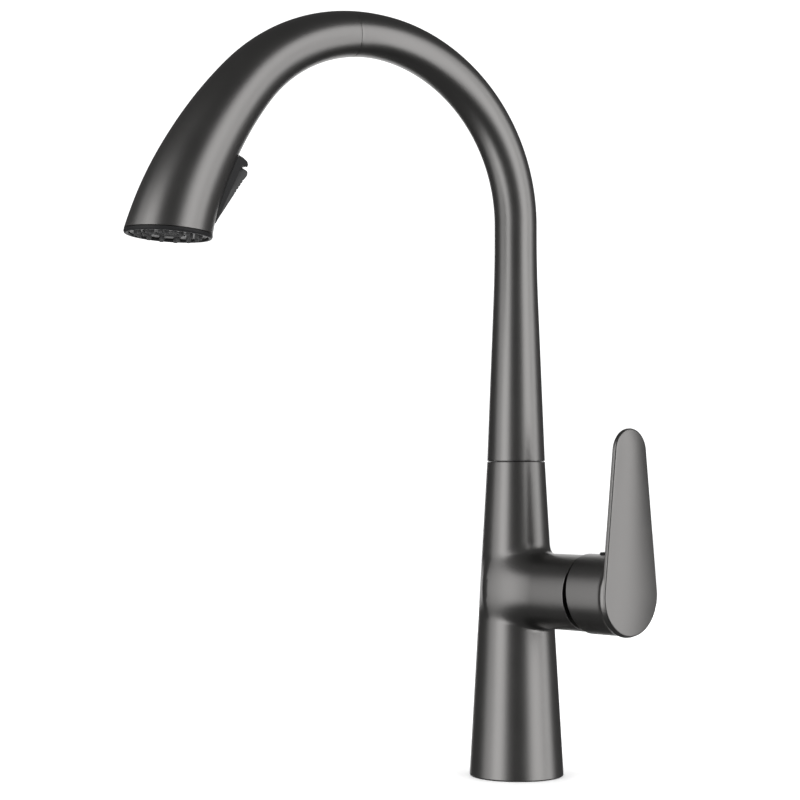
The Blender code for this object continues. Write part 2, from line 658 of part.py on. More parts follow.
def water_body(plane):
    """One moulding: spigot, inlet, diverter chamber and the bell that carries the spray plate."""
    rows = []
    for run, outer, inner in ((-SPIGOT_L, SPIGOT_R, SPIGOT_BORE_R), (1.2 * MM, SPIGOT_R, SPIGOT_BORE_R),
                              (1.4 * MM, WATER_R, SPIGOT_BORE_R)):
        rows.append((dock_frame_point(run), inward(DOCK), outer, inner))
    inlet_end = math.radians(103.5)
    rows.append((arch_point(inlet_end), inward(inlet_end), WATER_R, SPIGOT_BORE_R))
    for degrees, outer in ((104, WATER_R), (114, WATER_R), (124, WATER_R), (134, WATER_R), (142, WATER_R),
                           (147, CHAMBER_R), (160.6, CHAMBER_R)):
        phi = math.radians(degrees)
        rows.append((arch_point(phi), inward(section_angle(phi)), outer, outer - WATER_WALL))
    bell = HEAD_END - BELL_H / HEAD_BEND_R
    rows.append((arch_point(bell), inward(section_angle(bell)), BELL_START_R, BELL_START_R - WATER_WALL))
    rows.append((face_point(PLATE_TOP + MAT_T + 2 * GAP), inward(FACE_TILT), BELL_R, BELL_R - WATER_WALL))
    outer_rings = [circle(centre, side, Y, outer, SMALL_SIDES) for centre, side, outer, _ in rows]
    inner_rings = [circle(centre, side, Y, inner, SMALL_SIDES) for centre, side, _, inner in rows]
    moulding = swept("water_body", outer_rings, inner_rings, "dark_plastic", plane)
    hole = rod("plunger_hole", PLUNGER_R + 2 * GAP, -14 * MM, -4 * MM, None, sides=16, parent=plane,
               origin=rocker_point(PLUNGER_T, 0), axis=inward(ROCKER_AT))
    cut(moulding, hole)
    connector_r = SPIGOT_BORE_R - 2 * GAP
    connector_profile = [
        (HOSE_BORE_R, GAP), (connector_r, GAP), (connector_r, CONNECTOR_L), (HOSE_BORE_R, CONNECTOR_L),
    ]
    turned("hose_connector", connector_profile, "brass", origin=arch_point(DOCK), axis=heading(DOCK),
           parent=plane)
    valve_at = math.radians(109)
    valve_r = WATER_R - WATER_WALL - 2 * GAP
    valve_profile = [(2.4 * MM, 0), (valve_r, 0), (valve_r, 7 * MM), (2.4 * MM, 7 * MM)]
    turned("check_valve", valve_profile, "white_plastic", origin=arch_point(valve_at), axis=heading(valve_at),
           parent=plane)


def studs(name, profile, plane):
    """One tool holding a short turned shape at every nozzle."""
    work = bmesh.new()
    for radius, count in NOZZLE_CIRCLES:
        for spot in circle(face_point(0), inward(FACE_TILT), Y, radius, count):
            stud = turned(name, profile, None, origin=spot, axis=heading(FACE_TILT), sides=6, wrap=False)
            work.from_mesh(stud.data)
            bpy.data.objects.remove(stud)
    mesh = bpy.data.meshes.new(name)
    work.to_mesh(mesh)
    work.free()
    return link(name, mesh, None, plane)


def spray_face(plane):
    face = {"origin": face_point(0), "axis": heading(FACE_TILT), "parent": plane}
    profile = [
        (PLATE_R + GAP, -RING_H), (FACE_R - 0.15 * MM, -RING_H), (FACE_R, -RING_H / 2), (FACE_R - 0.6 * MM, 0),
        (PLATE_R + GAP, 0),
    ]
    turned("face_ring", profile, "dark_plastic", sides=SIDES, **face)
    eye = AERATOR_R + GAP
    plate = ring("spray_plate", eye, PLATE_R, -PLATE_TOP, -PLATE_SUNK, "gunmetal", sides=SIDES, **face)
    mat_low = PLATE_TOP + GAP
    mat = ring("nozzle_mat", eye, PLATE_R - MM, -mat_low - MAT_T, -mat_low, "grey_rubber", **face)
    nozzle = [(NOZZLE_R, -mat_low - 0.5 * MM), (NOZZLE_R, 0), (NOZZLE_R - 0.4 * MM, NOZZLE_PROUD)]
    hole = [(NOZZLE_R + GAP, -PLATE_TOP - MM), (NOZZLE_R + GAP, MM)]
    cut(plate, studs("nozzle_holes", hole, plane))
    add(mat, studs("nozzles", nozzle, plane))
    aerator_profile = [(AERATOR_R, -10 * MM), (AERATOR_R, -PLATE_SUNK), (AERATOR_R - 1.3 * MM, -PLATE_SUNK),
                       (AERATOR_R - 1.3 * MM, -PLATE_SUNK - 1.2 * MM)]
    turned("aerator", aerator_profile, "grey_rubber", wrap=False, **face)


def rocker_point(t, n):
    base = arch_point(ROCKER_AT) + inward(ROCKER_AT) * arch_radius(ROCKER_AT)
    return base + heading(ROCKER_AT) * t + inward(ROCKER_AT) * n


def rocker_frame():
    """Columns: down the head, across it, out of its surface."""
    frame = Matrix((heading(ROCKER_AT), Y, inward(ROCKER_AT))).transposed().to_4x4()
    frame.translation = rocker_point(0, 0)
    return frame


def rocker_parts(plane):
    frame = rocker_frame()
    top = WINDOW_TOP + GAP
    end = WINDOW_END - GAP
    outline = [
        (WINDOW_TOP - 2.5 * MM, -4 * MM), (WINDOW_TOP - 2.5 * MM, 0.6 * MM),
        (WINDOW_TOP - 1.9 * MM, BEZEL_RISE * 0.66), (WINDOW_TOP - 0.8 * MM, BEZEL_RISE * 0.95),
        (WINDOW_TOP + 0.7 * MM, BEZEL_RISE), (WINDOW_TOP + MM, RIM_RISE), (WINDOW_END, 0.7 * MM),
        (WINDOW_END + 2 * MM, 0.2 * MM), (WINDOW_END + 2 * MM, -4 * MM),
    ]
    bezel = extruded("rocker_bezel", outline, BEZEL_W, "dark_plastic", frame, plane)
    rows = head_stations()
    rings = [circle(centre, side, Y, radius + GAP, SIDES) for centre, side, radius in rows]
    cut(bezel, skin("head_envelope", rings, None, plane, wrap=False))
    tray_half = WINDOW_W - GAP
    add(bezel, block("bezel_tray", (top, -tray_half, -BEZEL_FLOOR), (end, tray_half, 0.4 * MM), None,
                     frame, plane))
    pocket_half = tray_half - BEZEL_WALL
    pocket_top = top + BEZEL_WALL
    pocket_end = end - 0.5 * MM
    cut(bezel, block("bezel_pocket", (pocket_top, -pocket_half, -BEZEL_FLOOR + 1.2 * MM),
                     (pocket_end, pocket_half, 12 * MM), None, frame, plane))
    pin_at = rocker_point(0, ROCKER_PIN_N)
    pin_half = tray_half
    cut(bezel, rod("bezel_pin_hole", ROCKER_PIN_R + GAP, -pin_half - GAP, pin_half + GAP, None,
                   origin=pin_at, axis=Y, parent=plane, sides=12))
    out = inward(ROCKER_AT)
    cut(bezel, rod("bezel_plunger_hole", PLUNGER_R + 2 * GAP, -BEZEL_FLOOR - MM, -BEZEL_FLOOR + 2 * MM, None,
                   origin=rocker_point(PLUNGER_T, 0), axis=out, parent=plane, sides=16))
    rod("rocker_pin", ROCKER_PIN_R, -pin_half, pin_half, "steel", origin=pin_at, axis=Y, parent=plane, sides=12)
    rocker(frame, plane, pocket_top, pocket_end, pocket_half - GAP, pin_at)
    diverter(plane, out)


def rocker(frame, plane, pocket_top, pocket_end, half_width, pin_at):
    start = pocket_top + 0.4 * MM
    end = pocket_end - GAP
    outline = [
        (start, 2.6 * MM), (start + 0.3 * MM, ROCKER_RISE - 1.2 * MM), (start + 1.2 * MM, ROCKER_RISE),
        (end - 1.5 * MM, 1.9 * MM), (end, 1.0 * MM), (end, 0.0),
        (3.2 * MM, 0.2 * MM), (2.1 * MM, -0.8 * MM), (0.0, -1.4 * MM), (-2.1 * MM, -0.8 * MM),
        (-3.4 * MM, 1.2 * MM),
    ]
    lever = extruded("rocker", outline, half_width, "dark_plastic", frame, plane)
    cut(lever, rod("rocker_pin_hole", ROCKER_PIN_R + ROCKER_PIN_CLEAR, -half_width - MM, half_width + MM, None,
                   origin=pin_at, axis=Y, parent=plane, sides=12))


def diverter(plane, out):
    origin = rocker_point(PLUNGER_T, PLUNGER_TOP)
    collar = -13 * MM
    profile = [
        (PLUNGER_R, 0), (PLUNGER_R, collar), (PLUNGER_R + MM, collar), (PLUNGER_R + MM, collar - MM),
        (PLUNGER_R, collar - MM), (PLUNGER_R, -PLUNGER_L),
    ]
    turned("diverter_plunger", profile, "white_plastic", origin=origin, axis=out, parent=plane,
           sides=16, wrap=False)
    spring_top = -PLUNGER_L - 2 * GAP
    spring_l = 10.5 * MM
    rings = []
    count = SPRING_TURNS * 8
    for step in range(count + 1):
        turn = 2 * math.pi * SPRING_TURNS * step / count
        radial = math.cos(turn) * Y + math.sin(turn) * out.cross(Y)
        centre = origin + out * (spring_top - SPRING_WIRE - spring_l * step / count) + radial * SPRING_R
        rings.append(circle(centre, radial, out, SPRING_WIRE, 5))
    skin("diverter_spring", rings, "steel", plane, wrap=False)


# ---------------------------------------------------------------- the whole faucet

def build():
    body_casting()
    swivel()
    water_tubes()
    valve_seat()
    cartridge()
    stem_parts()
    handle()
    plane = empty("spout_plane", turn=-math.pi / 2 + SPOUT_TURN)
    spout_shell(plane)
    swivel_sleeve(plane)
    docking_collar(plane)
    spray_hose(plane)
    head_shell(plane)
    water_body(plane)
    spray_face(plane)
    rocker_parts(plane)


clear_scene()
MATERIALS = make_materials()
build()
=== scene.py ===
"""Looks of the pull down kitchen faucet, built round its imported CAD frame.

Units are metres. The frame is the CAD's: origin on the column's axis at the deck, +Z up, +X out through the lever.
"""
import math

import bmesh
import bpy
from mathutils import Matrix, Vector


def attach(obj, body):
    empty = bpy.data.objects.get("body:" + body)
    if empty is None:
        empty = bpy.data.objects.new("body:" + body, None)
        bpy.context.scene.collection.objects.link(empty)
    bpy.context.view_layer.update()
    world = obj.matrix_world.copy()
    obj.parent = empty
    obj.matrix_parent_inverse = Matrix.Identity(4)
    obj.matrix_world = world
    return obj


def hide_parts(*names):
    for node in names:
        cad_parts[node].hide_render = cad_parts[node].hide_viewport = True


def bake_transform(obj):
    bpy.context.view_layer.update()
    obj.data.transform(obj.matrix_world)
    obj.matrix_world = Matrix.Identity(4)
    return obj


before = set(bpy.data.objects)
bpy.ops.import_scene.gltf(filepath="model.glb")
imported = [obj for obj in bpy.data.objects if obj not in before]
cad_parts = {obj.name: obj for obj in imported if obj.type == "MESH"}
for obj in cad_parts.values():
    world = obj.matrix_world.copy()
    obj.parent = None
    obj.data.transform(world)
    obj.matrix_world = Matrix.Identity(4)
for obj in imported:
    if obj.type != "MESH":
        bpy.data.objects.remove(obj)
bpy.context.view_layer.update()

MM = 0.001
GAP = 0.3 * MM              # between neighbouring pieces that touch

# Column and hub
FOOT_R = 26.5 * MM
SEAM_Z = 176.7 * MM
SEAM_R = 16.35 * MM
SEAM_GAP = 0.6 * MM
EDGE = 0.5 * MM             # rounding of cast edges
AXIS_R = 0.1 * MM           # where a turned tool stops short of its axis
WASHER_DEPTH = 2.0 * MM     # recess for the bearing washer at the seam
RECESS_R = SEAM_R - 1.7 * MM
WASHER_CLEAR = 0.13 * MM    # the spout's inner lip ends this far above the seam's middle, just off the washer
LIP_R = SEAM_R - 0.6 * MM
NECK_RUN = 20.0 * MM        # the narrow bore below the seam
GROOVE_IN = 22.1 * MM       # in the foot, for the gasket
GROOVE_OUT = 24.5 * MM
GROOVE_H = 1.8 * MM
GASKET_IN = 22.4 * MM
GASKET_OUT = 24.2 * MM
GASKET_H = 1.5 * MM
THREAD_PITCH = 1.6 * MM
THREAD_TURNS = 11
HUB_Z = 104.5 * MM
HUB_R = 20.9 * MM
HUB_END = 53.3 * MM
HUB_BORE_R = 18.0 * MM
HUB_BORE_START = 3.0 * MM
NOSE_TAPER = 3.0 * MM       # how much narrower the unblended hub starts, on the column's axis
NOSE_RUN = 7.0 * MM
HUB_BLEND_TOP = 8.0 * MM    # reach of the blend between column and hub: above it, below it, and added at its sides
HUB_BLEND_LOW = 3.0 * MM
HUB_BLEND_SIDE = 10.0 * MM
SHANK_R = 17.0 * MM
SHANK_DEPTH = 20.0 * MM
CAST_WALL = 2.6 * MM
NECK_BORE_R = 12.3 * MM

# Lever
HANDLE_R = 21.8 * MM
HANDLE_WALL = 2.2 * MM
RIM_TOP = 54.6 * MM
RIM_BOTTOM = 59.0 * MM
SKIRT_DEPTH = 62.0 * MM
PADDLE_BACK = 81.6 * MM
PADDLE_FRONT = 84.3 * MM
PADDLE_CROWN = 1.5 * MM
PADDLE_LOW_R = 22.0 * MM
PADDLE_TIP_R = 13.0 * MM
PADDLE_LENGTH = 77.0 * MM
PADDLE_EDGE = 0.9 * MM
PADDLE_BLEND = 3.0 * MM
SCREW_X = 66.0 * MM
PLUG_R = 3.0 * MM
PLUG_PROUD = 1.1 * MM
PIVOT_X = 42.0 * MM
DOME_R = 19.0 * MM
DOME_WALL = 1.2 * MM
DOME_START = 7.5 * MM       # from the pivot out to the dome's edge
DOME_LIP = math.radians(38)

# Spout and spray head
SPOUT_TURN = math.radians(-12.4)
SPOUT_WALL = 1.5 * MM
TUBE_R = 12.0 * MM
CONE_TOP = 285.8 * MM
CONE_EASE = 9.0 * MM        # how softly the cone becomes the plain tube
BEND_Z = 311.0 * MM
BEND_R = 98.0 * MM
BEND_END = math.radians(138.6)
HEAD_BEND_R = 208.0 * MM
HEAD_END = math.radians(165)
FLARE_START = math.radians(85.5)
FLARE_POWER = 1.45
DOCK = math.radians(96)
DOCK_GAP = 0.14 * MM
DOCK_EDGE = 0.08 * MM
COLLAR_START = math.radians(88)
HEAD_WALL = 2.0 * MM
FACE_R = 22.9 * MM
FACE_TILT = math.radians(176)
TILT_START = math.radians(150)
RING_H = 2.2 * MM
PLATE_R = 20.1 * MM
PLATE_TOP = 4.5 * MM
PLATE_SUNK = 1.0 * MM
MAT_T = 1.7 * MM
NOZZLE_R = 1.25 * MM
NOZZLE_PROUD = 1.0 * MM
NOZZLE_CIRCLES = ((16.4 * MM, 14), (11.9 * MM, 9))
AERATOR_R = 8.3 * MM

# Rocker: T down the head, N out of its surface
ROCKER_AT = math.radians(155.75)
WINDOW_TOP = -19.0 * MM
WINDOW_END = 17.0 * MM
WINDOW_W = 7.0 * MM
BEZEL_W = 8.3 * MM
BEZEL_RISE = 4.7 * MM
RIM_RISE = 1.6 * MM
BEZEL_FLOOR = 6.0 * MM
BEZEL_WALL = 1.0 * MM
ROCKER_RISE = 7.6 * MM
ROCKER_HALF = 5.4 * MM
PLUNGER_T = -9.0 * MM
PLUNGER_HOLE_R = 2.4 * MM
PIN_N = 0.8 * MM
PIN_HOLE_R = 1.2 * MM

# Hose and spring
HOSE_R = 6.0 * MM
HOSE_BORE_R = 4.0 * MM
HOSE_SIDES = 32
STRETCH_START = -8.0 * MM   # along the dock's axis, where the hose starts to draw out
PULL = 0.4                  # how far it draws out
SPRING_R = 2.4 * MM
SPRING_WIRE = 0.4 * MM
SPRING_TURNS = 5
SPRING_TOP = -17.2 * MM     # from the head's surface, along N
SPRING_L = 10.5 * MM

SIDES = 112
SMALL_SIDES = 48
ON_SURFACE = 4e-5           # how near a rough point counts as lying on its surface

X, Y, Z = Vector((1, 0, 0)), Vector((0, 1, 0)), Vector((0, 0, 1))
HUB_ORIGIN = Vector((0, 0, HUB_Z))
SPOUT_FRAME = Matrix.Rotation(-math.pi / 2 + SPOUT_TURN, 4, "Z")    # the spout's plane (X out) in the row frame


# ---------------------------------------------------------------- materials

def add_node(tree, kind, **values):
    """A shader node; keyword names are its inputs or, failing that, its properties."""
    node = tree.nodes.new(kind)
    for key, value in values.items():
        name = key.replace("_", " ").title()
        if name in node.inputs:
            node.inputs[name].default_value = value
        else:
            setattr(node, key, value)
    return node


def ramp(tree, source, low, high):
    """Maps a 0-1 source to a value between low and high."""
    node = add_node(tree, "ShaderNodeMapRange")
    node.inputs["To Min"].default_value = low
    node.inputs["To Max"].default_value = high
    tree.links.new(source, node.inputs["Value"])
    return node.outputs["Result"]


def finish(name, dark, light, metallic, roughness, grain, bump,
           cloud=70.0, texture=None, coat=0.0, shine=0.5):
    """Colour drifts between dark and light, gloss between two roughnesses, over a fine grain of bump height."""
    made = bpy.data.materials.new(name)
    made.use_nodes = True
    tree = made.node_tree
    shader = tree.nodes["Principled BSDF"]
    shader.inputs["Metallic"].default_value = metallic
    shader.inputs["Coat Weight"].default_value = coat
    shader.inputs["Specular IOR Level"].default_value = shine
    place = add_node(tree, "ShaderNodeTexCoord")
    drift = add_node(tree, "ShaderNodeTexNoise", scale=cloud, detail=3.0)
    tree.links.new(place.outputs["Object"], drift.inputs["Vector"])
    fine = add_node(tree, "ShaderNodeTexNoise", scale=grain, detail=4.0, roughness=0.6)
    tree.links.new(place.outputs["Object"], fine.inputs["Vector"])
    both = add_node(tree, "ShaderNodeMath", operation="MULTIPLY_ADD")
    both.inputs[1].default_value = 0.35
    tree.links.new(fine.outputs["Fac"], both.inputs[0])
    tree.links.new(ramp(tree, drift.outputs["Fac"], 0.0, 0.65), both.inputs[2])
    colour = add_node(tree, "ShaderNodeMix", data_type="RGBA")
    colour.inputs["A"].default_value = (*dark, 1)
    colour.inputs["B"].default_value = (*light, 1)
    tree.links.new(both.outputs[0], colour.inputs["Factor"])
    tree.links.new(colour.outputs["Result"], shader.inputs["Base Color"])
    tree.links.new(ramp(tree, both.outputs[0], *roughness), shader.inputs["Roughness"])
    height = fine.outputs["Fac"]
    if texture:
        height = texture(tree, place, height)
    relief = add_node(tree, "ShaderNodeBump", strength=1.0, distance=bump)
    tree.links.new(height, relief.inputs["Height"])
    tree.links.new(relief.outputs["Normal"], shader.inputs["Normal"])
    return made


def lathe_lines(tree, place, height):
    """Fine tool marks at even heights, over the grain."""
    wave = add_node(tree, "ShaderNodeTexWave", scale=900.0, distortion=1.5, detail=2.0, bands_direction="DIAGONAL")
    tree.links.new(place.outputs["Object"], wave.inputs["Vector"])
    both = add_node(tree, "ShaderNodeMath", operation="MULTIPLY_ADD")
    both.inputs[1].default_value = 0.5
    tree.links.new(wave.outputs["Fac"], both.inputs[0])
    tree.links.new(height, both.inputs[2])
    return both.outputs[0]


def braid(tree, place, height):
    """Two crossed spirals of strands from the hose's own UV: U once round it, V in metres along it."""
    strands = []
    for turn in (1, -1):
        lean = add_node(tree, "ShaderNodeMapping")
        lean.inputs["Rotation"].default_value = (0, 0, math.radians(45) * turn)
        strand_size = add_node(tree, "ShaderNodeMapping")
        strand_size.inputs["Scale"].default_value = (16.0, 420.0, 1.0)
        tree.links.new(place.outputs["UV"], strand_size.inputs["Vector"])
        tree.links.new(strand_size.outputs["Vector"], lean.inputs["Vector"])
        wave = add_node(tree, "ShaderNodeTexWave", scale=0.7, bands_direction="X")
        tree.links.new(lean.outputs["Vector"], wave.inputs["Vector"])
        strands.append(wave.outputs["Fac"])
    top = add_node(tree, "ShaderNodeMath", operation="MAXIMUM")
    tree.links.new(strands[0], top.inputs[0])
    tree.links.new(strands[1], top.inputs[1])
    both = add_node(tree, "ShaderNodeMath", operation="MULTIPLY_ADD")
    both.inputs[1].default_value = 3.0
    tree.links.new(top.outputs[0], both.inputs[0])
    tree.links.new(height, both.inputs[2])
    return both.outputs[0]


MATERIALS = {
    "gunmetal": finish("satin_gunmetal", (0.205, 0.201, 0.198), (0.245, 0.240, 0.236), 1.0,
                       (0.31, 0.39), 2600.0, 0.000004, cloud=45.0),
    "face_metal": finish("face_plate_metal", (0.055, 0.055, 0.055), (0.095, 0.094, 0.093), 1.0,
                         (0.30, 0.42), 1500.0, 0.00001),
    "brass": finish("turned_brass", (0.58, 0.42, 0.19), (0.74, 0.57, 0.30), 1.0, (0.24, 0.40), 700.0, 0.00002,
                    texture=lathe_lines),
    "steel": finish("stainless_steel", (0.50, 0.50, 0.50), (0.66, 0.66, 0.65), 1.0, (0.22, 0.36), 900.0, 0.00001,
                    texture=lathe_lines),
    "copper": finish("drawn_copper", (0.60, 0.30, 0.19), (0.78, 0.44, 0.32), 1.0, (0.25, 0.45), 500.0, 0.00002),
    "ceramic": finish("alumina_ceramic", (0.82, 0.81, 0.78), (0.90, 0.89, 0.86), 0.0,
                      (0.12, 0.22), 800.0, 0.000005, coat=0.3),
    "white_plastic": finish("white_acetal", (0.74, 0.74, 0.71), (0.83, 0.83, 0.81), 0.0, (0.38, 0.50), 1100.0,
                            0.00001),
    "dark_plastic": finish("dark_moulded_plastic", (0.009, 0.009, 0.0095), (0.016, 0.016, 0.017), 0.0,
                           (0.34, 0.48), 1800.0, 0.00002, shine=0.15),
    "rocker_plastic": finish("rocker_moulded_plastic", (0.016, 0.016, 0.0165), (0.028, 0.028, 0.029), 0.0,
                             (0.34, 0.46), 1800.0, 0.00001, shine=0.42),
    "rubber": finish("black_rubber", (0.016, 0.016, 0.016), (0.034, 0.034, 0.034), 0.0, (0.62, 0.82), 1300.0,
                     0.00004),
    "grey_rubber": finish("grey_silicone", (0.030, 0.030, 0.031), (0.055, 0.055, 0.056), 0.0, (0.50, 0.66), 1300.0,
                          0.00003),
    "hose_braid": finish("braided_hose", (0.030, 0.030, 0.032), (0.085, 0.085, 0.09), 0.0, (0.42, 0.60), 2400.0,
                         0.00012, texture=braid),
}


# ---------------------------------------------------------------- mesh tools

def thing(name, mesh):
    made = bpy.data.objects.new(name, mesh)
    bpy.context.collection.objects.link(made)
    return made


def smooth(mesh, sharp=35):
    mesh.shade_smooth()
    mesh.set_sharp_from_angle(angle=math.radians(sharp))


def skin(name, rings, wrap=True):
    """A closed surface through a row of rings; without wrap, its first and last ring get caps."""
    mesh = bpy.data.meshes.new(name)
    work = bmesh.new()
    rows = [[work.verts.new(point) for point in ring] for ring in rings]
    pairs = list(zip(rows, rows[1:]))
    if wrap:
        pairs.append((rows[-1], rows[0]))
    else:
        work.faces.new(rows[0])
        work.faces.new(rows[-1])
    for low, high in pairs:
        for i in range(len(low)):
            j = (i + 1) % len(low)
            work.faces.new((low[i], low[j], high[j], high[i]))
    bmesh.ops.recalc_face_normals(work, faces=work.faces)
    work.to_mesh(mesh)
    work.free()
    smooth(mesh)
    return thing(name, mesh)


def circle(centre, side, up, radius, sides=SIDES):
    turns = [2 * math.pi * i / sides for i in range(sides)]
    return [centre + radius * (math.cos(t) * side + math.sin(t) * up) for t in turns]


def softened(corners, steps=5):
    """A closed outline of (x, y, radius) corners, each rounded by an arc of its radius."""
    points = []
    count = len(corners)
    for i, (x, y, radius) in enumerate(corners):
        corner = Vector((x, y))
        back = Vector(corners[i - 1][:2]) - corner
        ahead = Vector(corners[(i + 1) % count][:2]) - corner
        turn = math.pi - back.angle(ahead, 0.0)
        if radius <= 0 or turn < 0.02:
            points.append(corner)
            continue
        reach = min(radius * math.tan(turn / 2), 0.48 * back.length, 0.48 * ahead.length)
        radius = reach / math.tan(turn / 2)
        start = corner + back.normalized() * reach
        centre = corner + (back.normalized() + ahead.normalized()).normalized() * math.hypot(radius, reach)
        arm = start - centre
        sign = 1 if back.cross(ahead) < 0 else -1
        for k in range(steps + 1):
            share = sign * turn * k / steps
            points.append(centre + Vector((arm.x * math.cos(share) - arm.y * math.sin(share),
                                           arm.x * math.sin(share) + arm.y * math.cos(share))))
    return points


def turned(name, corners, origin=Vector(), axis=Z, sides=SIDES, wrap=True):
    """A turned piece from (radius, height along axis, rounding) corners. Without wrap it closes on its axis."""
    axis = axis.normalized()
    side = (Y if abs(axis.dot(Y)) < 0.5 else X).cross(axis).normalized()
    up = axis.cross(side)
    rings = [circle(origin + axis * p.y, side, up, p.x, sides) for p in softened(corners)]
    return skin(name, rings, wrap)


def rod(name, radius, low, high, origin=Vector(), axis=Z, sides=SIDES):
    return turned(name, [(radius, low, 0), (radius, high, 0)], origin, axis, sides, wrap=False)


def oblong(start, end, low, high):
    return [Vector(corner) for corner in ((start, low), (end, low), (end, high), (start, high))]


def slab(name, outline, half, place, edge=0.0):
    """An outline in place's first and third directions, half each way along its second, rims rounded by edge."""
    rows = []
    middle = sum(outline, Vector((0, 0))) / len(outline)
    for depth, inset in ((-half, edge), (-half + 0.3 * edge, 0.3 * edge), (-half + edge, 0),
                         (half - edge, 0), (half - 0.3 * edge, 0.3 * edge), (half, edge)):
        ring = []
        for point in outline:
            inward_step = (middle - point).normalized() * inset
            p = point + inward_step
            ring.append(place @ Vector((p.x, depth, p.y)))
        rows.append(ring)
    if not edge:
        rows = [rows[0], rows[-1]]
    return skin(name, rows, wrap=False)


def shape(target, tool, operation="DIFFERENCE"):
    """Cuts with, or adds, another closed shape, which is then gone."""
    step = target.modifiers.new("shape", "BOOLEAN")
    step.operation = operation
    step.object = tool
    result = bpy.data.meshes.new_from_object(target.evaluated_get(bpy.context.evaluated_depsgraph_get()))
    target.modifiers.clear()
    target.data = result
    bpy.data.objects.remove(tool)
    smooth(result)


def slope(distance, point, step=1e-6):
    base = distance(point)
    return base, Vector([(distance(point + axis * step) - base) / step for axis in (X, Y, Z)])


def settle(target, rough, exact):
    """Moves the points that lie on the rough surface onto the exact one, and shades them by its slope."""
    mesh = target.data
    normals = [None] * len(mesh.vertices)
    for vertex in mesh.vertices:
        point = vertex.co.copy()
        if abs(rough(point)) > ON_SURFACE:
            continue
        for _ in range(4):
            value, gradient = slope(exact, point)
            point -= gradient * (value / gradient.length_squared)
        vertex.co = point
        normals[vertex.index] = gradient.normalized()
    mesh.update()
    corners = []
    for face in mesh.polygons:
        known = [normals[v] for v in face.vertices]
        whole = all(n and n.dot(face.normal) > 0.8 for n in known)
        corners += known if whole else [Vector()] * len(known)
    mesh.normals_split_custom_set(corners)


def blend_of(a, b, reach):
    """The lesser of two distances, rounded where they are within reach of each other."""
    overlap = max(reach - abs(a - b), 0) / reach
    return min(a, b) - overlap * overlap * reach / 4


def dress(piece, body, node, slot, material=None):
    """Puts a piece on its body in place of a CAD node, in its finish."""
    piece.data.materials.clear()
    piece.data.materials.append(MATERIALS[material or slot])
    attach(piece, body)
    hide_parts(node)


# ---------------------------------------------------------------- the arch, in its own plane (X out, Z up)

def arch_point(phi):
    bend = min(phi, BEND_END)
    out = BEND_R * (1 - math.cos(bend))
    up = BEND_Z + BEND_R * math.sin(bend)
    if phi > BEND_END:
        out += HEAD_BEND_R * (math.cos(BEND_END) - math.cos(phi))
        up -= HEAD_BEND_R * (math.sin(BEND_END) - math.sin(phi))
    return Vector((out, 0, up))


def heading(phi):
    return Vector((math.sin(phi), 0, math.cos(phi)))


def inward(phi):
    return Vector((math.cos(phi), 0, -math.sin(phi)))


def eased(share):
    """From 0 to 1 with a soft start and end."""
    return share * share * (3 - 2 * share)


def run_from_flare(phi):
    return BEND_R * (min(phi, BEND_END) - FLARE_START) + HEAD_BEND_R * max(phi - BEND_END, 0)


def arch_radius(phi):
    share = max(run_from_flare(phi), 0) / run_from_flare(HEAD_END)
    return TUBE_R + (FACE_R - TUBE_R) * share ** FLARE_POWER


def section_angle(phi):
    share = max(phi - TILT_START, 0) / (HEAD_END - TILT_START)
    return phi + (FACE_TILT - HEAD_END) * eased(share)


def face_point(height):
    return arch_point(HEAD_END) - heading(FACE_TILT) * height


def spread(start, end, count):
    return [start + (end - start) * i / count for i in range(count + 1)]


def arch_ring(phi, radius, sides=SIDES):
    return circle(arch_point(phi), inward(section_angle(phi)), Y, radius, sides)


def to_row_frame(piece):
    """From the spout's own plane into the row frame."""
    piece.data.transform(SPOUT_FRAME)
    return piece


# ---------------------------------------------------------------- column

def column_radius(z):
    return FOOT_R + (SEAM_R - FOOT_R) * z / SEAM_Z


def column_distance(point):
    return math.hypot(point.x, point.y) - column_radius(point.z)


def hub_distance(point):
    round_it = math.hypot(point.y, point.z - HUB_Z) - HUB_R
    behind = max(-point.x, 0)
    return math.hypot(max(round_it, 0), behind) + min(round_it, 0) * (behind == 0)


def nose_radius(x):
    """The hub before it is blended: it starts narrower, inside the column."""
    return HUB_R - NOSE_TAPER * max(1 - x / NOSE_RUN, 0)


def nose_distance(point):
    return math.hypot(point.y, point.z - HUB_Z) - nose_radius(point.x)


def casting_distance(point):
    share = min(max((point.z - HUB_Z + HUB_R) / (2 * HUB_R), 0), 1)
    reach = HUB_BLEND_LOW + (HUB_BLEND_TOP - HUB_BLEND_LOW) * share + 4 * HUB_BLEND_SIDE * share * (1 - share)
    return blend_of(column_distance(point), hub_distance(point), reach)


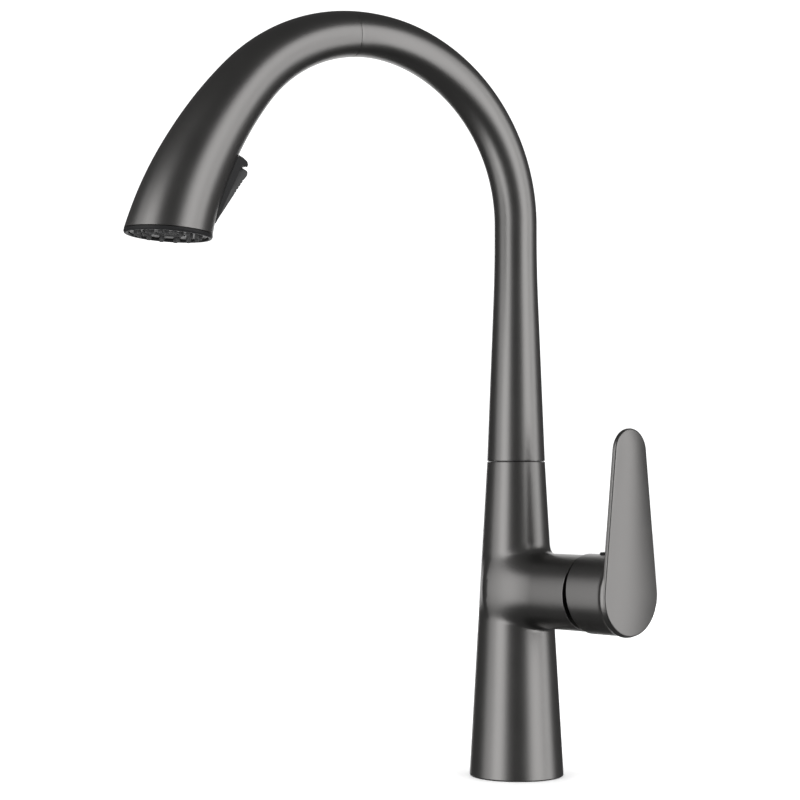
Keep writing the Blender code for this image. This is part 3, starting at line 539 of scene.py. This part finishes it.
def column_casting():
    top = SEAM_Z - SEAM_GAP / 2
    low_edge, high_edge = EDGE * 1.4, EDGE * 0.5
    rings = [circle(Vector(), X, Y, 10 * MM)]
    for turn in spread(0, math.pi / 2, 4):
        radius = column_radius(low_edge) - low_edge * (1 - math.sin(turn))
        rings.append(circle(Z * low_edge * (1 - math.cos(turn)), X, Y, radius))
    rings += [circle(Z * z, X, Y, column_radius(z)) for z in spread(low_edge + MM, top - MM, 118)]
    for turn in spread(0, math.pi / 2, 3):
        radius = column_radius(top) - high_edge * (1 - math.cos(turn))
        rings.append(circle(Z * (top - high_edge * (1 - math.sin(turn))), X, Y, radius))
    rings.append(circle(Z * top, X, Y, 10 * MM))
    casting = skin("column_casting", rings, wrap=False)
    hub_rings = [circle(HUB_ORIGIN + X * x, Y, Z, nose_radius(x)) for x in spread(0, HUB_END - EDGE, 60)]
    for turn in spread(0, math.pi / 2, 4)[1:]:
        hub_rings.append(circle(HUB_ORIGIN + X * (HUB_END - EDGE * (1 - math.sin(turn))), Y, Z,
                                HUB_R - EDGE * (1 - math.cos(turn))))
    shape(casting, skin("hub", hub_rings, wrap=False), "UNION")
    neck = top - NECK_RUN
    shoulder = SHANK_DEPTH + 4 * MM
    cavity = [(AXIS_R, -MM, 0), (SHANK_R, -MM, 0), (SHANK_R, SHANK_DEPTH, MM),
              (column_radius(shoulder) - CAST_WALL, shoulder, 2 * MM), (column_radius(neck) - CAST_WALL, neck, MM),
              (NECK_BORE_R, neck + 3 * MM, 0), (NECK_BORE_R, top + MM, 0), (AXIS_R, top + MM, 0)]
    shape(casting, turned("cavity", cavity))
    shape(casting, rod("hub_bore", HUB_BORE_R, HUB_BORE_START, HUB_END + MM, HUB_ORIGIN, X))
    groove = [(GROOVE_IN, -MM, 0), (GROOVE_OUT, -MM, 0), (GROOVE_OUT, GROOVE_H, 0.3 * MM),
              (GROOVE_IN, GROOVE_H, 0.3 * MM)]
    shape(casting, turned("groove", groove))
    seat = [(11 * MM, top - WASHER_DEPTH, 0), (RECESS_R, top - WASHER_DEPTH, 0), (RECESS_R, top + MM, 0),
            (11 * MM, top + MM, 0)]
    shape(casting, turned("washer_seat", seat))

    def rough(point):
        if point.z < low_edge - 1e-6 or point.z > top - high_edge + 1e-6 or point.x > HUB_END - EDGE + 1e-6:
            return 1.0
        column = column_distance(point)
        return min(column, nose_distance(point)) if point.x > 0 else column

    settle(casting, rough, casting_distance)
    dress(casting, "column", "body_casting", "gunmetal")


def dome():
    edge = math.acos(DOME_START / DOME_R)
    under = DOME_R - DOME_WALL
    corners = [(DOME_R * math.sin(t), PIVOT_X + DOME_R * math.cos(t), 0) for t in spread(edge, DOME_LIP, 18)]
    corners += [(under * math.sin(t), PIVOT_X + under * math.cos(t), 0) for t in spread(DOME_LIP, edge, 18)]
    dress(turned("cartridge_dome", corners, HUB_ORIGIN, X), "column", "dome_ring", "gunmetal")


def foot_pieces():
    seal = [(GASKET_IN, 0, 0.4 * MM), (GASKET_OUT, 0, 0.4 * MM), (GASKET_OUT, GASKET_H, 0.3 * MM),
            (GASKET_IN, GASKET_H, 0.3 * MM)]
    dress(turned("foot_gasket", seal), "column", "foot_seal", "rubber")
    outer = SHANK_R - GAP
    thread_top = SHANK_DEPTH - GAP
    crest, root = outer - 1.9 * MM, outer - 1.1 * MM
    corners = [(outer, 0.4 * MM, 0.4 * MM), (outer, thread_top, 0), (crest, thread_top, 0)]
    for count in range(THREAD_TURNS):
        low = thread_top - THREAD_PITCH * (count + 0.5)
        corners += [(root, low, 0), (crest, low - THREAD_PITCH / 2, 0)]
    corners.append((crest + 0.5 * MM, 0.4 * MM, 0))
    dress(turned("threaded_socket", corners), "column", "shank_socket", "brass")


# ---------------------------------------------------------------- lever

def paddle_share(y, z):
    """Signed distance to the paddle's outline, and how far out from its middle line the point is, 0 to 1."""
    up = z - HUB_Z
    lean = (PADDLE_LOW_R - PADDLE_TIP_R) / PADDLE_LENGTH
    level = math.sqrt(1 - lean * lean)
    side = abs(y)
    along = -lean * side + level * up
    if along < 0:
        distance = math.hypot(side, up) - PADDLE_LOW_R
    elif along > level * PADDLE_LENGTH:
        distance = math.hypot(side, up - PADDLE_LENGTH) - PADDLE_TIP_R
    else:
        distance = side * level + up * lean - PADDLE_LOW_R
    height = min(max(up, 0), PADDLE_LENGTH)
    local = PADDLE_LOW_R - (PADDLE_LOW_R - PADDLE_TIP_R) * height / PADDLE_LENGTH
    return distance, min(math.hypot(side, up - height) / local, 1)


def paddle_distance(point):
    outline, share = paddle_share(point.y, point.z)
    front = PADDLE_FRONT + PADDLE_CROWN * (1 - share ** 2)
    middle, half = (front + PADDLE_BACK) / 2, (front - PADDLE_BACK) / 2
    a, b = outline + PADDLE_EDGE, abs(point.x - middle) - half + PADDLE_EDGE
    return min(max(a, b), 0) + math.hypot(max(a, 0), max(b, 0)) - PADDLE_EDGE


def skirt_distance(point):
    end = point.x - (PADDLE_FRONT - PADDLE_EDGE)
    return max(math.hypot(point.y, point.z - HUB_Z) - HANDLE_R, end)


def lever_distance(point):
    """The blend fades out through the paddle, so that its front stays clean."""
    share = min(max((PADDLE_FRONT - PADDLE_EDGE - point.x) / (PADDLE_FRONT - PADDLE_EDGE - PADDLE_BACK), 0), 1)
    return blend_of(skirt_distance(point), paddle_distance(point), PADDLE_BLEND * max(share, 0.01))


def paddle_ring(share, x):
    lean = math.asin((PADDLE_LOW_R - PADDLE_TIP_R) / PADDLE_LENGTH)
    points = []

    def put(radius, turn, centre):
        spine = Vector((x, 0, HUB_Z + centre))
        points.append(spine + Vector((0, math.cos(turn), math.sin(turn))) * radius * share)

    for turn in spread(lean, math.pi - lean, 30):
        put(PADDLE_TIP_R, turn, PADDLE_LENGTH)
    for step in spread(0, 1, 26)[1:-1]:
        put(PADDLE_TIP_R + (PADDLE_LOW_R - PADDLE_TIP_R) * step, math.pi - lean, PADDLE_LENGTH * (1 - step))
    for turn in spread(math.pi - lean, 2 * math.pi + lean, 44):
        put(PADDLE_LOW_R, turn, 0)
    for step in spread(0, 1, 26)[1:-1]:
        put(PADDLE_LOW_R + (PADDLE_TIP_R - PADDLE_LOW_R) * step, lean, PADDLE_LENGTH * step)
    return points


def lever_handle():
    shares = [0.02, 0.08, 0.16, 0.26, 0.38, 0.5, 0.62, 0.74, 0.84, 0.91, 0.95]
    rows = [(share, PADDLE_BACK) for share in shares]
    rows += [(0.975, PADDLE_BACK + 0.1 * MM), (0.99, PADDLE_BACK + 0.3 * MM),
             (1.0, PADDLE_BACK + PADDLE_EDGE), (1.0, PADDLE_FRONT - PADDLE_EDGE),
             (0.99, PADDLE_FRONT - 0.25 * MM), (0.975, PADDLE_FRONT + 0.05 * MM)]
    rows += [(share, PADDLE_FRONT + PADDLE_CROWN * (1 - share ** 2)) for share in shares[::-1]]
    paddle = skin("paddle", [paddle_ring(share, x) for share, x in rows], wrap=False)
    hub = {"origin": HUB_ORIGIN, "axis": X}
    skirt_rings = [circle(HUB_ORIGIN + X * x, Y, Z, HANDLE_R)
                   for x in spread(RIM_TOP - 2 * MM, PADDLE_BACK + MM, 34)]
    handle = skin("lever_handle", skirt_rings, wrap=False)
    shape(handle, paddle, "UNION")
    lean = math.atan2(RIM_BOTTOM - RIM_TOP, 2 * HANDLE_R)
    place = (Matrix.Translation(HUB_ORIGIN + X * (RIM_TOP + RIM_BOTTOM) / 2)
             @ Matrix.Rotation(-lean, 4, "Y"))
    depth, big = 20 * MM, 30 * MM
    shape(handle, slab("rim_cut", oblong(-depth, 0, -big, big), big, place))
    inside = [(AXIS_R, RIM_TOP - 4 * MM, 0), (HANDLE_R - HANDLE_WALL, RIM_TOP - 4 * MM, 0),
              (HANDLE_R - HANDLE_WALL, SKIRT_DEPTH, MM), (AXIS_R, SKIRT_DEPTH, 0)]
    shape(handle, turned("skirt_hollow", inside, **hub))
    above = Vector((SCREW_X, 0, HUB_Z))
    shape(handle, rod("plug_hole", PLUG_R + GAP / 2, HANDLE_R - 4.8 * MM, HANDLE_R + 2 * MM, above,
                      sides=SMALL_SIDES))

    def rough(point):
        near_skirt = abs(skirt_distance(point)) if point.x < PADDLE_BACK + PADDLE_EDGE else 1.0
        near_paddle = abs(paddle_distance(point)) if point.x > PADDLE_BACK - 0.1 * MM else 1.0
        return min(near_skirt / 2, near_paddle / 10)

    settle(handle, rough, lever_distance)
    dress(handle, "lever", "handle", "gunmetal")
    top = HANDLE_R + PLUG_PROUD
    corners = [(PLUG_R, HANDLE_R - 4.5 * MM, 0), (PLUG_R, top - 0.5 * MM, 0),
               (PLUG_R - 0.12 * MM, top - 0.2 * MM, 0), (PLUG_R - 0.5 * MM, top, 0), (1.4 * MM, top, 0),
               (1.2 * MM, top - 0.25 * MM, 0), (0.2 * MM, top - 0.3 * MM, 0)]
    plug = turned("hole_plug", corners, above, sides=SMALL_SIDES, wrap=False)
    dress(plug, "lever", "screw_plug", "dark_plastic")


# ---------------------------------------------------------------- spout and head

def spout_radius(z):
    """The cone, eased into the plain tube."""
    per_metre = (SEAM_R - TUBE_R) / (CONE_TOP - SEAM_Z)
    return TUBE_R - blend_of(0.0, (z - CONE_TOP) * per_metre, 2 * CONE_EASE * per_metre) if z > SEAM_Z else SEAM_R


def spout_tube():
    low = SEAM_Z + SEAM_GAP / 2
    lip = EDGE * 0.5
    outer = [circle(Z * (low + lip * (1 - math.cos(t))), X, Y, spout_radius(low + lip) - lip * (1 - math.sin(t)))
             for t in spread(0, math.pi / 2, 3)]
    outer += [circle(Z * z, X, Y, spout_radius(z)) for z in spread(low + MM, BEND_Z, 60)]
    last = DOCK - DOCK_EDGE / BEND_R
    outer += [arch_ring(phi, arch_radius(phi)) for phi in spread(0, last, 80)[1:]]
    outer += [arch_ring(last + DOCK_EDGE / BEND_R * math.sin(t), arch_radius(DOCK) - DOCK_EDGE * (1 - math.cos(t)))
              for t in spread(0, math.pi / 2, 3)[1:]]
    lip_end = SEAM_Z + WASHER_CLEAR
    outer = [circle(Z * lip_end, X, Y, LIP_R), circle(Z * low, X, Y, LIP_R)] + outer
    inner = [circle(Z * z, X, Y, spout_radius(low) - SPOUT_WALL) for z in (lip_end, low)]
    inner += [circle(Z * z, X, Y, spout_radius(z) - SPOUT_WALL) for z in spread(low, BEND_Z, 30)[1:]]
    inner += [arch_ring(phi, TUBE_R - SPOUT_WALL) for phi in spread(0, DOCK, 60)[1:]]
    tube = to_row_frame(skin("spout_tube", outer + inner[::-1]))
    dress(tube, "spout", "spout_shell", "gunmetal")


def head_rows(count, extra=0.0):
    """Centre, section direction and radius from the dock to the face ring."""
    rows = []
    for phi in spread(DOCK + DOCK_GAP / BEND_R, HEAD_END, count):
        ease = eased(min(max((phi - TILT_START) / (HEAD_END - TILT_START), 0), 1))
        centre = arch_point(phi) - heading(FACE_TILT) * (RING_H + GAP) * ease
        rows.append((centre, inward(section_angle(phi)), arch_radius(phi) - 0.15 * MM * ease + extra))
    return rows


def rocker_point(t, n):
    base = arch_point(ROCKER_AT) + inward(ROCKER_AT) * arch_radius(ROCKER_AT)
    return base + heading(ROCKER_AT) * t + inward(ROCKER_AT) * n


def rocker_place():
    place = Matrix((heading(ROCKER_AT), Y, inward(ROCKER_AT))).transposed().to_4x4()
    place.translation = rocker_point(0, 0)
    return place


def window_tool():
    """The window in the head: a rounded oblong seen along N."""
    ends = ((WINDOW_TOP, -WINDOW_W), (WINDOW_END, -WINDOW_W), (WINDOW_END, WINDOW_W), (WINDOW_TOP, WINDOW_W))
    outline = softened([(t, w, 3 * MM) for t, w in ends], 6)
    place = rocker_place()
    rows = [[place @ Vector((p.x, p.y, n)) for p in outline] for n in (-9 * MM, 4 * MM)]
    return skin("window", rows, wrap=False)


def head_casing():
    rows = head_rows(100)
    centre, side, radius = rows[0]
    outer = [circle(centre + heading(DOCK) * DOCK_EDGE * (1 - math.cos(t)), side, Y,
                    radius - DOCK_EDGE * (1 - math.sin(t))) for t in spread(0, math.pi / 2, 3)]
    outer += [circle(centre, side, Y, radius) for centre, side, radius in rows[1:]]
    inner = [circle(centre, side, Y, radius - HEAD_WALL) for centre, side, radius in rows[::4]]
    casing = skin("head_casing", outer + inner[::-1])
    shape(casing, window_tool())
    dress(to_row_frame(casing), "spray_head", "head_shell", "gunmetal")


def rocker_frame_piece():
    place = rocker_place()
    corners = [(WINDOW_TOP - 2.5 * MM, -4 * MM, 0), (WINDOW_TOP - 2.5 * MM, 0.6 * MM, 0.2 * MM),
               (WINDOW_TOP - 1.8 * MM, BEZEL_RISE * 0.75, 1.0 * MM), (WINDOW_TOP - 0.4 * MM, BEZEL_RISE, 0.9 * MM),
               (WINDOW_TOP + 0.7 * MM, BEZEL_RISE, 0.35 * MM), (WINDOW_TOP + 1.0 * MM, RIM_RISE, 0.15 * MM),
               (WINDOW_END, 0.7 * MM, 1.5 * MM), (WINDOW_END + 2 * MM, 0.2 * MM, 0.3 * MM),
               (WINDOW_END + 2 * MM, -4 * MM, 0)]
    bezel = slab("rocker_surround", softened(corners), BEZEL_W, place, 0.7 * MM)
    envelope = [circle(centre, side, Y, radius) for centre, side, radius in head_rows(60, 0.12 * MM)]
    shape(bezel, skin("envelope", envelope, wrap=False))
    tray = oblong(WINDOW_TOP + GAP, WINDOW_END - GAP, -BEZEL_FLOOR, 0.4 * MM)
    shape(bezel, slab("tray", tray, WINDOW_W - GAP, place), "UNION")
    pocket = oblong(WINDOW_TOP + GAP + BEZEL_WALL, WINDOW_END - GAP - 0.5 * MM, -BEZEL_FLOOR + 1.2 * MM, 12 * MM)
    shape(bezel, slab("pocket", pocket, WINDOW_W - GAP - BEZEL_WALL, place))
    hole = rod("plunger_way", PLUNGER_HOLE_R, -BEZEL_FLOOR - MM, -BEZEL_FLOOR + 2 * MM, rocker_point(PLUNGER_T, 0),
               inward(ROCKER_AT), SMALL_SIDES)
    shape(bezel, hole)
    dress(to_row_frame(bezel), "spray_head", "rocker_bezel", "dark_plastic")


def rocker_button():
    place = rocker_place()
    start = WINDOW_TOP + GAP + BEZEL_WALL + 0.4 * MM
    end = WINDOW_END - 2 * GAP - 0.5 * MM
    corners = [(start, 2.6 * MM, 0.3 * MM), (start + 0.2 * MM, ROCKER_RISE - 0.7 * MM, 1.2 * MM),
               (start + 2.2 * MM, ROCKER_RISE, 1.6 * MM)]
    for count in range(5):
        at = start + (5.2 + 2.1 * count) * MM
        level = ROCKER_RISE + (1.9 * MM - ROCKER_RISE) * (at - start) / (end - start) - 0.15 * MM
        corners += [(at, level + 0.25 * MM, 0.2 * MM), (at + 0.5 * MM, level - 0.35 * MM, 0.2 * MM),
                    (at + 1.0 * MM, level, 0.2 * MM)]
    corners += [(end - 1.5 * MM, 1.9 * MM, 0.9 * MM), (end, 1.0 * MM, 0.5 * MM), (end, 0.0, 0.3 * MM),
                (3.2 * MM, 0.2 * MM, 0.5 * MM), (2.1 * MM, -0.8 * MM, 0.8 * MM), (0.0, -1.4 * MM, 1.4 * MM),
                (-2.1 * MM, -0.8 * MM, 0.8 * MM), (-3.4 * MM, 1.2 * MM, 0.8 * MM)]
    button = slab("rocker_button", softened(corners, 4), ROCKER_HALF, place, 0.45 * MM)
    shape(button, rod("pin_way", PIN_HOLE_R, -WINDOW_W, WINDOW_W, rocker_point(0, PIN_N), Y, SMALL_SIDES))
    dress(to_row_frame(button), "rocker", "rocker", "dark_plastic", "rocker_plastic")


def joined(name, parts):
    """Several closed meshes as one object."""
    work = bmesh.new()
    for part in parts:
        work.from_mesh(part.data)
        bpy.data.objects.remove(part)
    mesh = bpy.data.meshes.new(name)
    work.to_mesh(mesh)
    work.free()
    smooth(mesh)
    return thing(name, mesh)


def at_nozzles(name, corners, sides, wrap=False):
    parts = []
    for radius, count in NOZZLE_CIRCLES:
        for number, spot in enumerate(circle(face_point(0), inward(FACE_TILT), Y, radius, count)):
            parts.append(turned(f"{name}_{radius:.4f}_{number}", corners, spot, heading(FACE_TILT), sides, wrap))
    return parts


def spray_face():
    face = {"origin": face_point(0), "axis": heading(FACE_TILT)}
    ring = [(PLATE_R + GAP, -RING_H, 0), (FACE_R - 0.15 * MM, -RING_H, 0.2 * MM),
            (FACE_R, -RING_H / 2, 0.8 * MM), (FACE_R - 0.6 * MM, 0, 0.5 * MM),
            (PLATE_R + 0.9 * MM, 0, 0.4 * MM), (PLATE_R + GAP, -0.7 * MM, 0.2 * MM)]
    dress(to_row_frame(turned("face_rim", ring, **face)), "spray_head", "face_ring", "dark_plastic")
    eye = AERATOR_R + GAP
    dished = -PLATE_SUNK - 0.3 * MM
    plate_corners = [(eye, -PLATE_TOP, 0), (PLATE_R, -PLATE_TOP, 0), (PLATE_R, -PLATE_SUNK, 0.4 * MM),
                     (PLATE_R - 1.0 * MM, -PLATE_SUNK, 0.2 * MM), (PLATE_R - 1.2 * MM, dished, 0.1 * MM),
                     (eye + 1.2 * MM, dished, 0.1 * MM), (eye + 1.0 * MM, -PLATE_SUNK, 0.2 * MM),
                     (eye, -PLATE_SUNK, 0.3 * MM)]
    plate = turned("face_plate", plate_corners, **face)
    hole = [(NOZZLE_R + GAP, -PLATE_TOP - MM, 0), (NOZZLE_R + GAP, MM, 0)]
    shape(plate, joined("holes", at_nozzles("hole", hole, 24)))
    dress(to_row_frame(plate), "spray_head", "spray_plate", "gunmetal", "face_metal")
    mat_low = PLATE_TOP + GAP
    mat_r = PLATE_R - MM
    mat = turned("mat", [(eye, -mat_low - MAT_T, 0), (mat_r, -mat_low - MAT_T, 0), (mat_r, -mat_low, 0),
                         (eye, -mat_low, 0)], **face)
    root, bore_r = -mat_low - 0.5 * MM, 0.35 * MM
    nozzle = [(bore_r, root, 0), (NOZZLE_R, root, 0), (NOZZLE_R, 0, 0.3 * MM),
              (NOZZLE_R - 0.2 * MM, NOZZLE_PROUD - 0.1 * MM, 0.25 * MM),
              (NOZZLE_R - 0.5 * MM, NOZZLE_PROUD, 0.15 * MM), (0.5 * MM, NOZZLE_PROUD - 0.1 * MM, 0.1 * MM),
              (bore_r, NOZZLE_PROUD - 0.6 * MM, 0)]
    whole = joined("nozzle_pad", [mat] + at_nozzles("nozzle", nozzle, 20, True))
    dress(to_row_frame(whole), "spray_head", "nozzle_mat", "grey_rubber")
    aerator()


def aerator():
    face = {"origin": face_point(0), "axis": heading(FACE_TILT)}
    floor = -PLATE_SUNK - 1.2 * MM
    corners = [(AXIS_R, -10 * MM, 0), (AERATOR_R, -10 * MM, 0), (AERATOR_R, -PLATE_SUNK, 0.4 * MM),
               (AERATOR_R - 1.3 * MM, -PLATE_SUNK, 0.3 * MM), (AERATOR_R - 1.3 * MM, floor, 0)]
    for radius in (5.6, 4.2, 2.8, 1.4):
        r = radius * MM
        corners += [(r + 0.3 * MM, floor, 0), (r + 0.2 * MM, floor + 0.6 * MM, 0.1 * MM),
                    (r - 0.2 * MM, floor + 0.6 * MM, 0.1 * MM), (r - 0.3 * MM, floor, 0)]
    corners.append((AXIS_R, floor, 0))
    parts = [turned("screen", corners, **face)]
    side, level = inward(FACE_TILT), heading(FACE_TILT)
    for count in range(12):
        turn = math.pi * count / 12
        way = math.cos(turn) * side + math.sin(turn) * Y
        cross = level.cross(way)
        place = Matrix((way, cross, level)).transposed().to_4x4()
        place.translation = face_point(0)
        reach = AERATOR_R - 1.1 * MM
        bar = oblong(-reach, reach, floor - 0.2 * MM, floor + 0.45 * MM)
        parts.append(slab(f"spoke_{count}", bar, 0.14 * MM, place))
    dress(to_row_frame(joined("aerator_screen", parts)), "spray_head", "aerator", "grey_rubber")


# ---------------------------------------------------------------- hose and spring

def hose():
    """Rings up the column, round the arch and into the spigot, with the braid's length kept in UV."""
    def dock_point(run):
        return arch_point(DOCK) + heading(DOCK) * run

    stations = [(Z * z, X) for z in spread(MM, BEND_Z, 70)]
    stations += [(arch_point(phi), inward(phi)) for phi in spread(0, COLLAR_START - math.radians(2), 40)[1:]]
    drawn = spread(STRETCH_START, -GAP, 120)
    stations += [(dock_point(run), inward(DOCK)) for run in drawn]
    lengths = [0.0]
    for (here, _), (there, _) in zip(stations, stations[1:]):
        lengths.append(lengths[-1] + (there - here).length)
    first = len(stations) - len(drawn)
    for number in range(first, len(stations)):
        share = (drawn[number - first] - STRETCH_START) / (-GAP - STRETCH_START)
        lengths[number] += PULL * eased(share)
    outer = [circle(at, side, Y, HOSE_R, HOSE_SIDES) for at, side in stations]
    inner = [circle(at, side, Y, HOSE_BORE_R, HOSE_SIDES) for at, side in stations[::6] + [stations[-1]]]
    piece = skin("braided_hose", outer + inner[::-1])
    layer = piece.data.uv_layers.new(name="braid")
    rings = len(outer)
    for face in piece.data.polygons:
        around = [v % HOSE_SIDES for v in face.vertices]
        wraps = max(around) - min(around) > 1
        for loop, vertex in zip(face.loop_indices, face.vertices):
            turn = vertex % HOSE_SIDES
            u = (turn + HOSE_SIDES if wraps and turn == 0 else turn) / HOSE_SIDES
            row = vertex // HOSE_SIDES
            layer.data[loop].uv = (u, lengths[row] if row < rings else 0.0)
    to_row_frame(piece)
    piece.data.materials.append(MATERIALS["hose_braid"])
    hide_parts("spray_hose")
    SPOUT_FRAME @ dock_point(STRETCH_START)
    SPOUT_FRAME @ dock_point(-GAP)
    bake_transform(piece)


def spring():
    out = inward(ROCKER_AT)
    origin = rocker_point(PLUNGER_T, 0)
    rings = []
    count = SPRING_TURNS * 40
    for step in range(count + 1):
        share = step / count
        turn = 2 * math.pi * SPRING_TURNS * share
        radial = math.cos(turn) * Y + math.sin(turn) * out.cross(Y)
        centre = origin + out * (SPRING_TOP + 1.4 * MM - SPRING_WIRE - SPRING_L * share) + radial * SPRING_R
        rings.append(circle(centre, radial, out, SPRING_WIRE, 12))
    piece = to_row_frame(skin("return_spring", rings, wrap=False))
    piece.data.materials.append(MATERIALS["steel"])
    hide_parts("diverter_spring")
    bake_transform(piece)


# ---------------------------------------------------------------- carried CAD nodes

CARRIED = {
    "brass": ("swivel_nipple", "valve_seat", "bonnet_nut", "swivel_sleeve", "hose_connector"),
    "steel": ("stop_pin", "retaining_ring", "stem", "stem_pin", "grub_screw", "rocker_pin"),
    "copper": ("hot_tube", "cold_tube", "outlet_tube"),
    "ceramic": ("fixed_disc", "moving_disc"),
    "white_plastic": ("lower_bush", "upper_bush", "cartridge_base", "cartridge_housing", "stem_carrier",
                      "docking_collar", "check_valve", "diverter_plunger"),
    "dark_plastic": ("bearing_washer", "disc_driver", "water_body"),
    "rubber": ("port_seal",),
}


def dress_carried():
    for material, nodes in CARRIED.items():
        for name in nodes:
            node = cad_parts[name]
            for slot in node.material_slots:
                slot.material = MATERIALS[material]
            edge = node.modifiers.new("soft_edges", "BEVEL")
            edge.width = 0.12 * MM
            edge.segments = 2
            edge.limit_method = "ANGLE"
            edge.angle_limit = math.radians(40)


# ---------------------------------------------------------------- studio

CAMERA_AT = Vector((0.7739, -0.8329, 0.1769))
CAMERA_PAN = math.radians(46.2)     # from -Y towards +X, where the camera stands
CAMERA_RISE = math.radians(1.747)   # it looks up by this much
CAMERA_WAY = (-0.722, 0.692)        # the level direction it looks in
LENS = 90
SENSOR = 36
LIGHT_CENTRE = Vector((0, -0.08, 0.24))
WORLD_LIGHT = 1.25
WORLD_MIRRORED = 0.10       # as the faucet's metal mirrors it, so that the soft boxes draw its bands
FLOOR_HALF = 3.0
FLOOR_DROP = 0.0002         # keeps the floor clear of the foot
SOFT_BOXES = (              # name, turn, distance, width, height, radiance
    ("left_wide", -62, 1.2, 1.55, 1.9, 0.95),
    ("left_key", -50, 1.1, 0.6, 1.7, 1.1),
    ("right_wide", 62, 1.2, 1.55, 1.9, 0.95),
    ("right_key", 53, 1.1, 0.6, 1.7, 0.95),
    ("right_side", 90, 1.1, 0.4, 1.7, 0.9),
    ("behind", 180, 1.4, 0.9, 1.5, 1.2),
)


def camera():
    data = bpy.data.cameras.new("camera")
    data.lens = LENS
    data.sensor_width = SENSOR
    eye = bpy.data.objects.new("camera", data)
    bpy.context.collection.objects.link(eye)
    eye.location = CAMERA_AT
    level = math.cos(CAMERA_RISE)
    way = Vector((CAMERA_WAY[0] * level, CAMERA_WAY[1] * level, math.sin(CAMERA_RISE)))
    eye.rotation_euler = way.to_track_quat("-Z", "Y").to_euler()
    bpy.context.scene.camera = eye


def soft_box(name, turn, distance, width, height, radiance):
    """A panel turn degrees to the right of the camera, facing the faucet."""
    angle = CAMERA_PAN + math.radians(turn)
    way = Vector((math.sin(angle), -math.cos(angle), 0))
    data = bpy.data.lights.new(name, "AREA")
    data.shape = "RECTANGLE"
    data.size, data.size_y = width, height
    data.energy = radiance * math.pi * width * height
    box = bpy.data.objects.new(name, data)
    bpy.context.collection.objects.link(box)
    box.location = LIGHT_CENTRE + way * distance
    box.rotation_euler = (-way).to_track_quat("-Z", "Y").to_euler()


def studio():
    world = bpy.data.worlds.new("studio")
    bpy.context.scene.world = world
    world.use_nodes = True
    tree = world.node_tree
    back = tree.nodes["Background"]
    back.inputs["Color"].default_value = (1, 1, 1, 1)
    rays = tree.nodes.new("ShaderNodeLightPath")
    dim = ramp(tree, rays.outputs["Is Glossy Ray"], WORLD_LIGHT, WORLD_MIRRORED)
    tree.links.new(dim, back.inputs["Strength"])
    floor_mesh = bpy.data.meshes.new("floor")
    floor_mesh.from_pydata([(x * FLOOR_HALF, y * FLOOR_HALF, 0) for x, y in ((-1, -1), (1, -1), (1, 1), (-1, 1))],
                           [], [(0, 1, 2, 3)])
    floor = thing("floor", floor_mesh)
    floor.location.z = -FLOOR_DROP
    paper = bpy.data.materials.new("pale_floor")
    paper.use_nodes = True
    shader = paper.node_tree.nodes["Principled BSDF"]
    shader.inputs["Base Color"].default_value = (0.93, 0.93, 0.93, 1)
    shader.inputs["Roughness"].default_value = 0.9
    floor_mesh.materials.append(paper)
    floor.visible_glossy = False
    for panel in SOFT_BOXES:
        soft_box(*panel)
    bpy.context.scene.view_settings.view_transform = "Standard"


camera()
column_casting()
dome()
foot_pieces()
lever_handle()
spout_tube()
head_casing()
rocker_frame_piece()
rocker_button()
spray_face()
hose()
spring()
dress_carried()
studio()
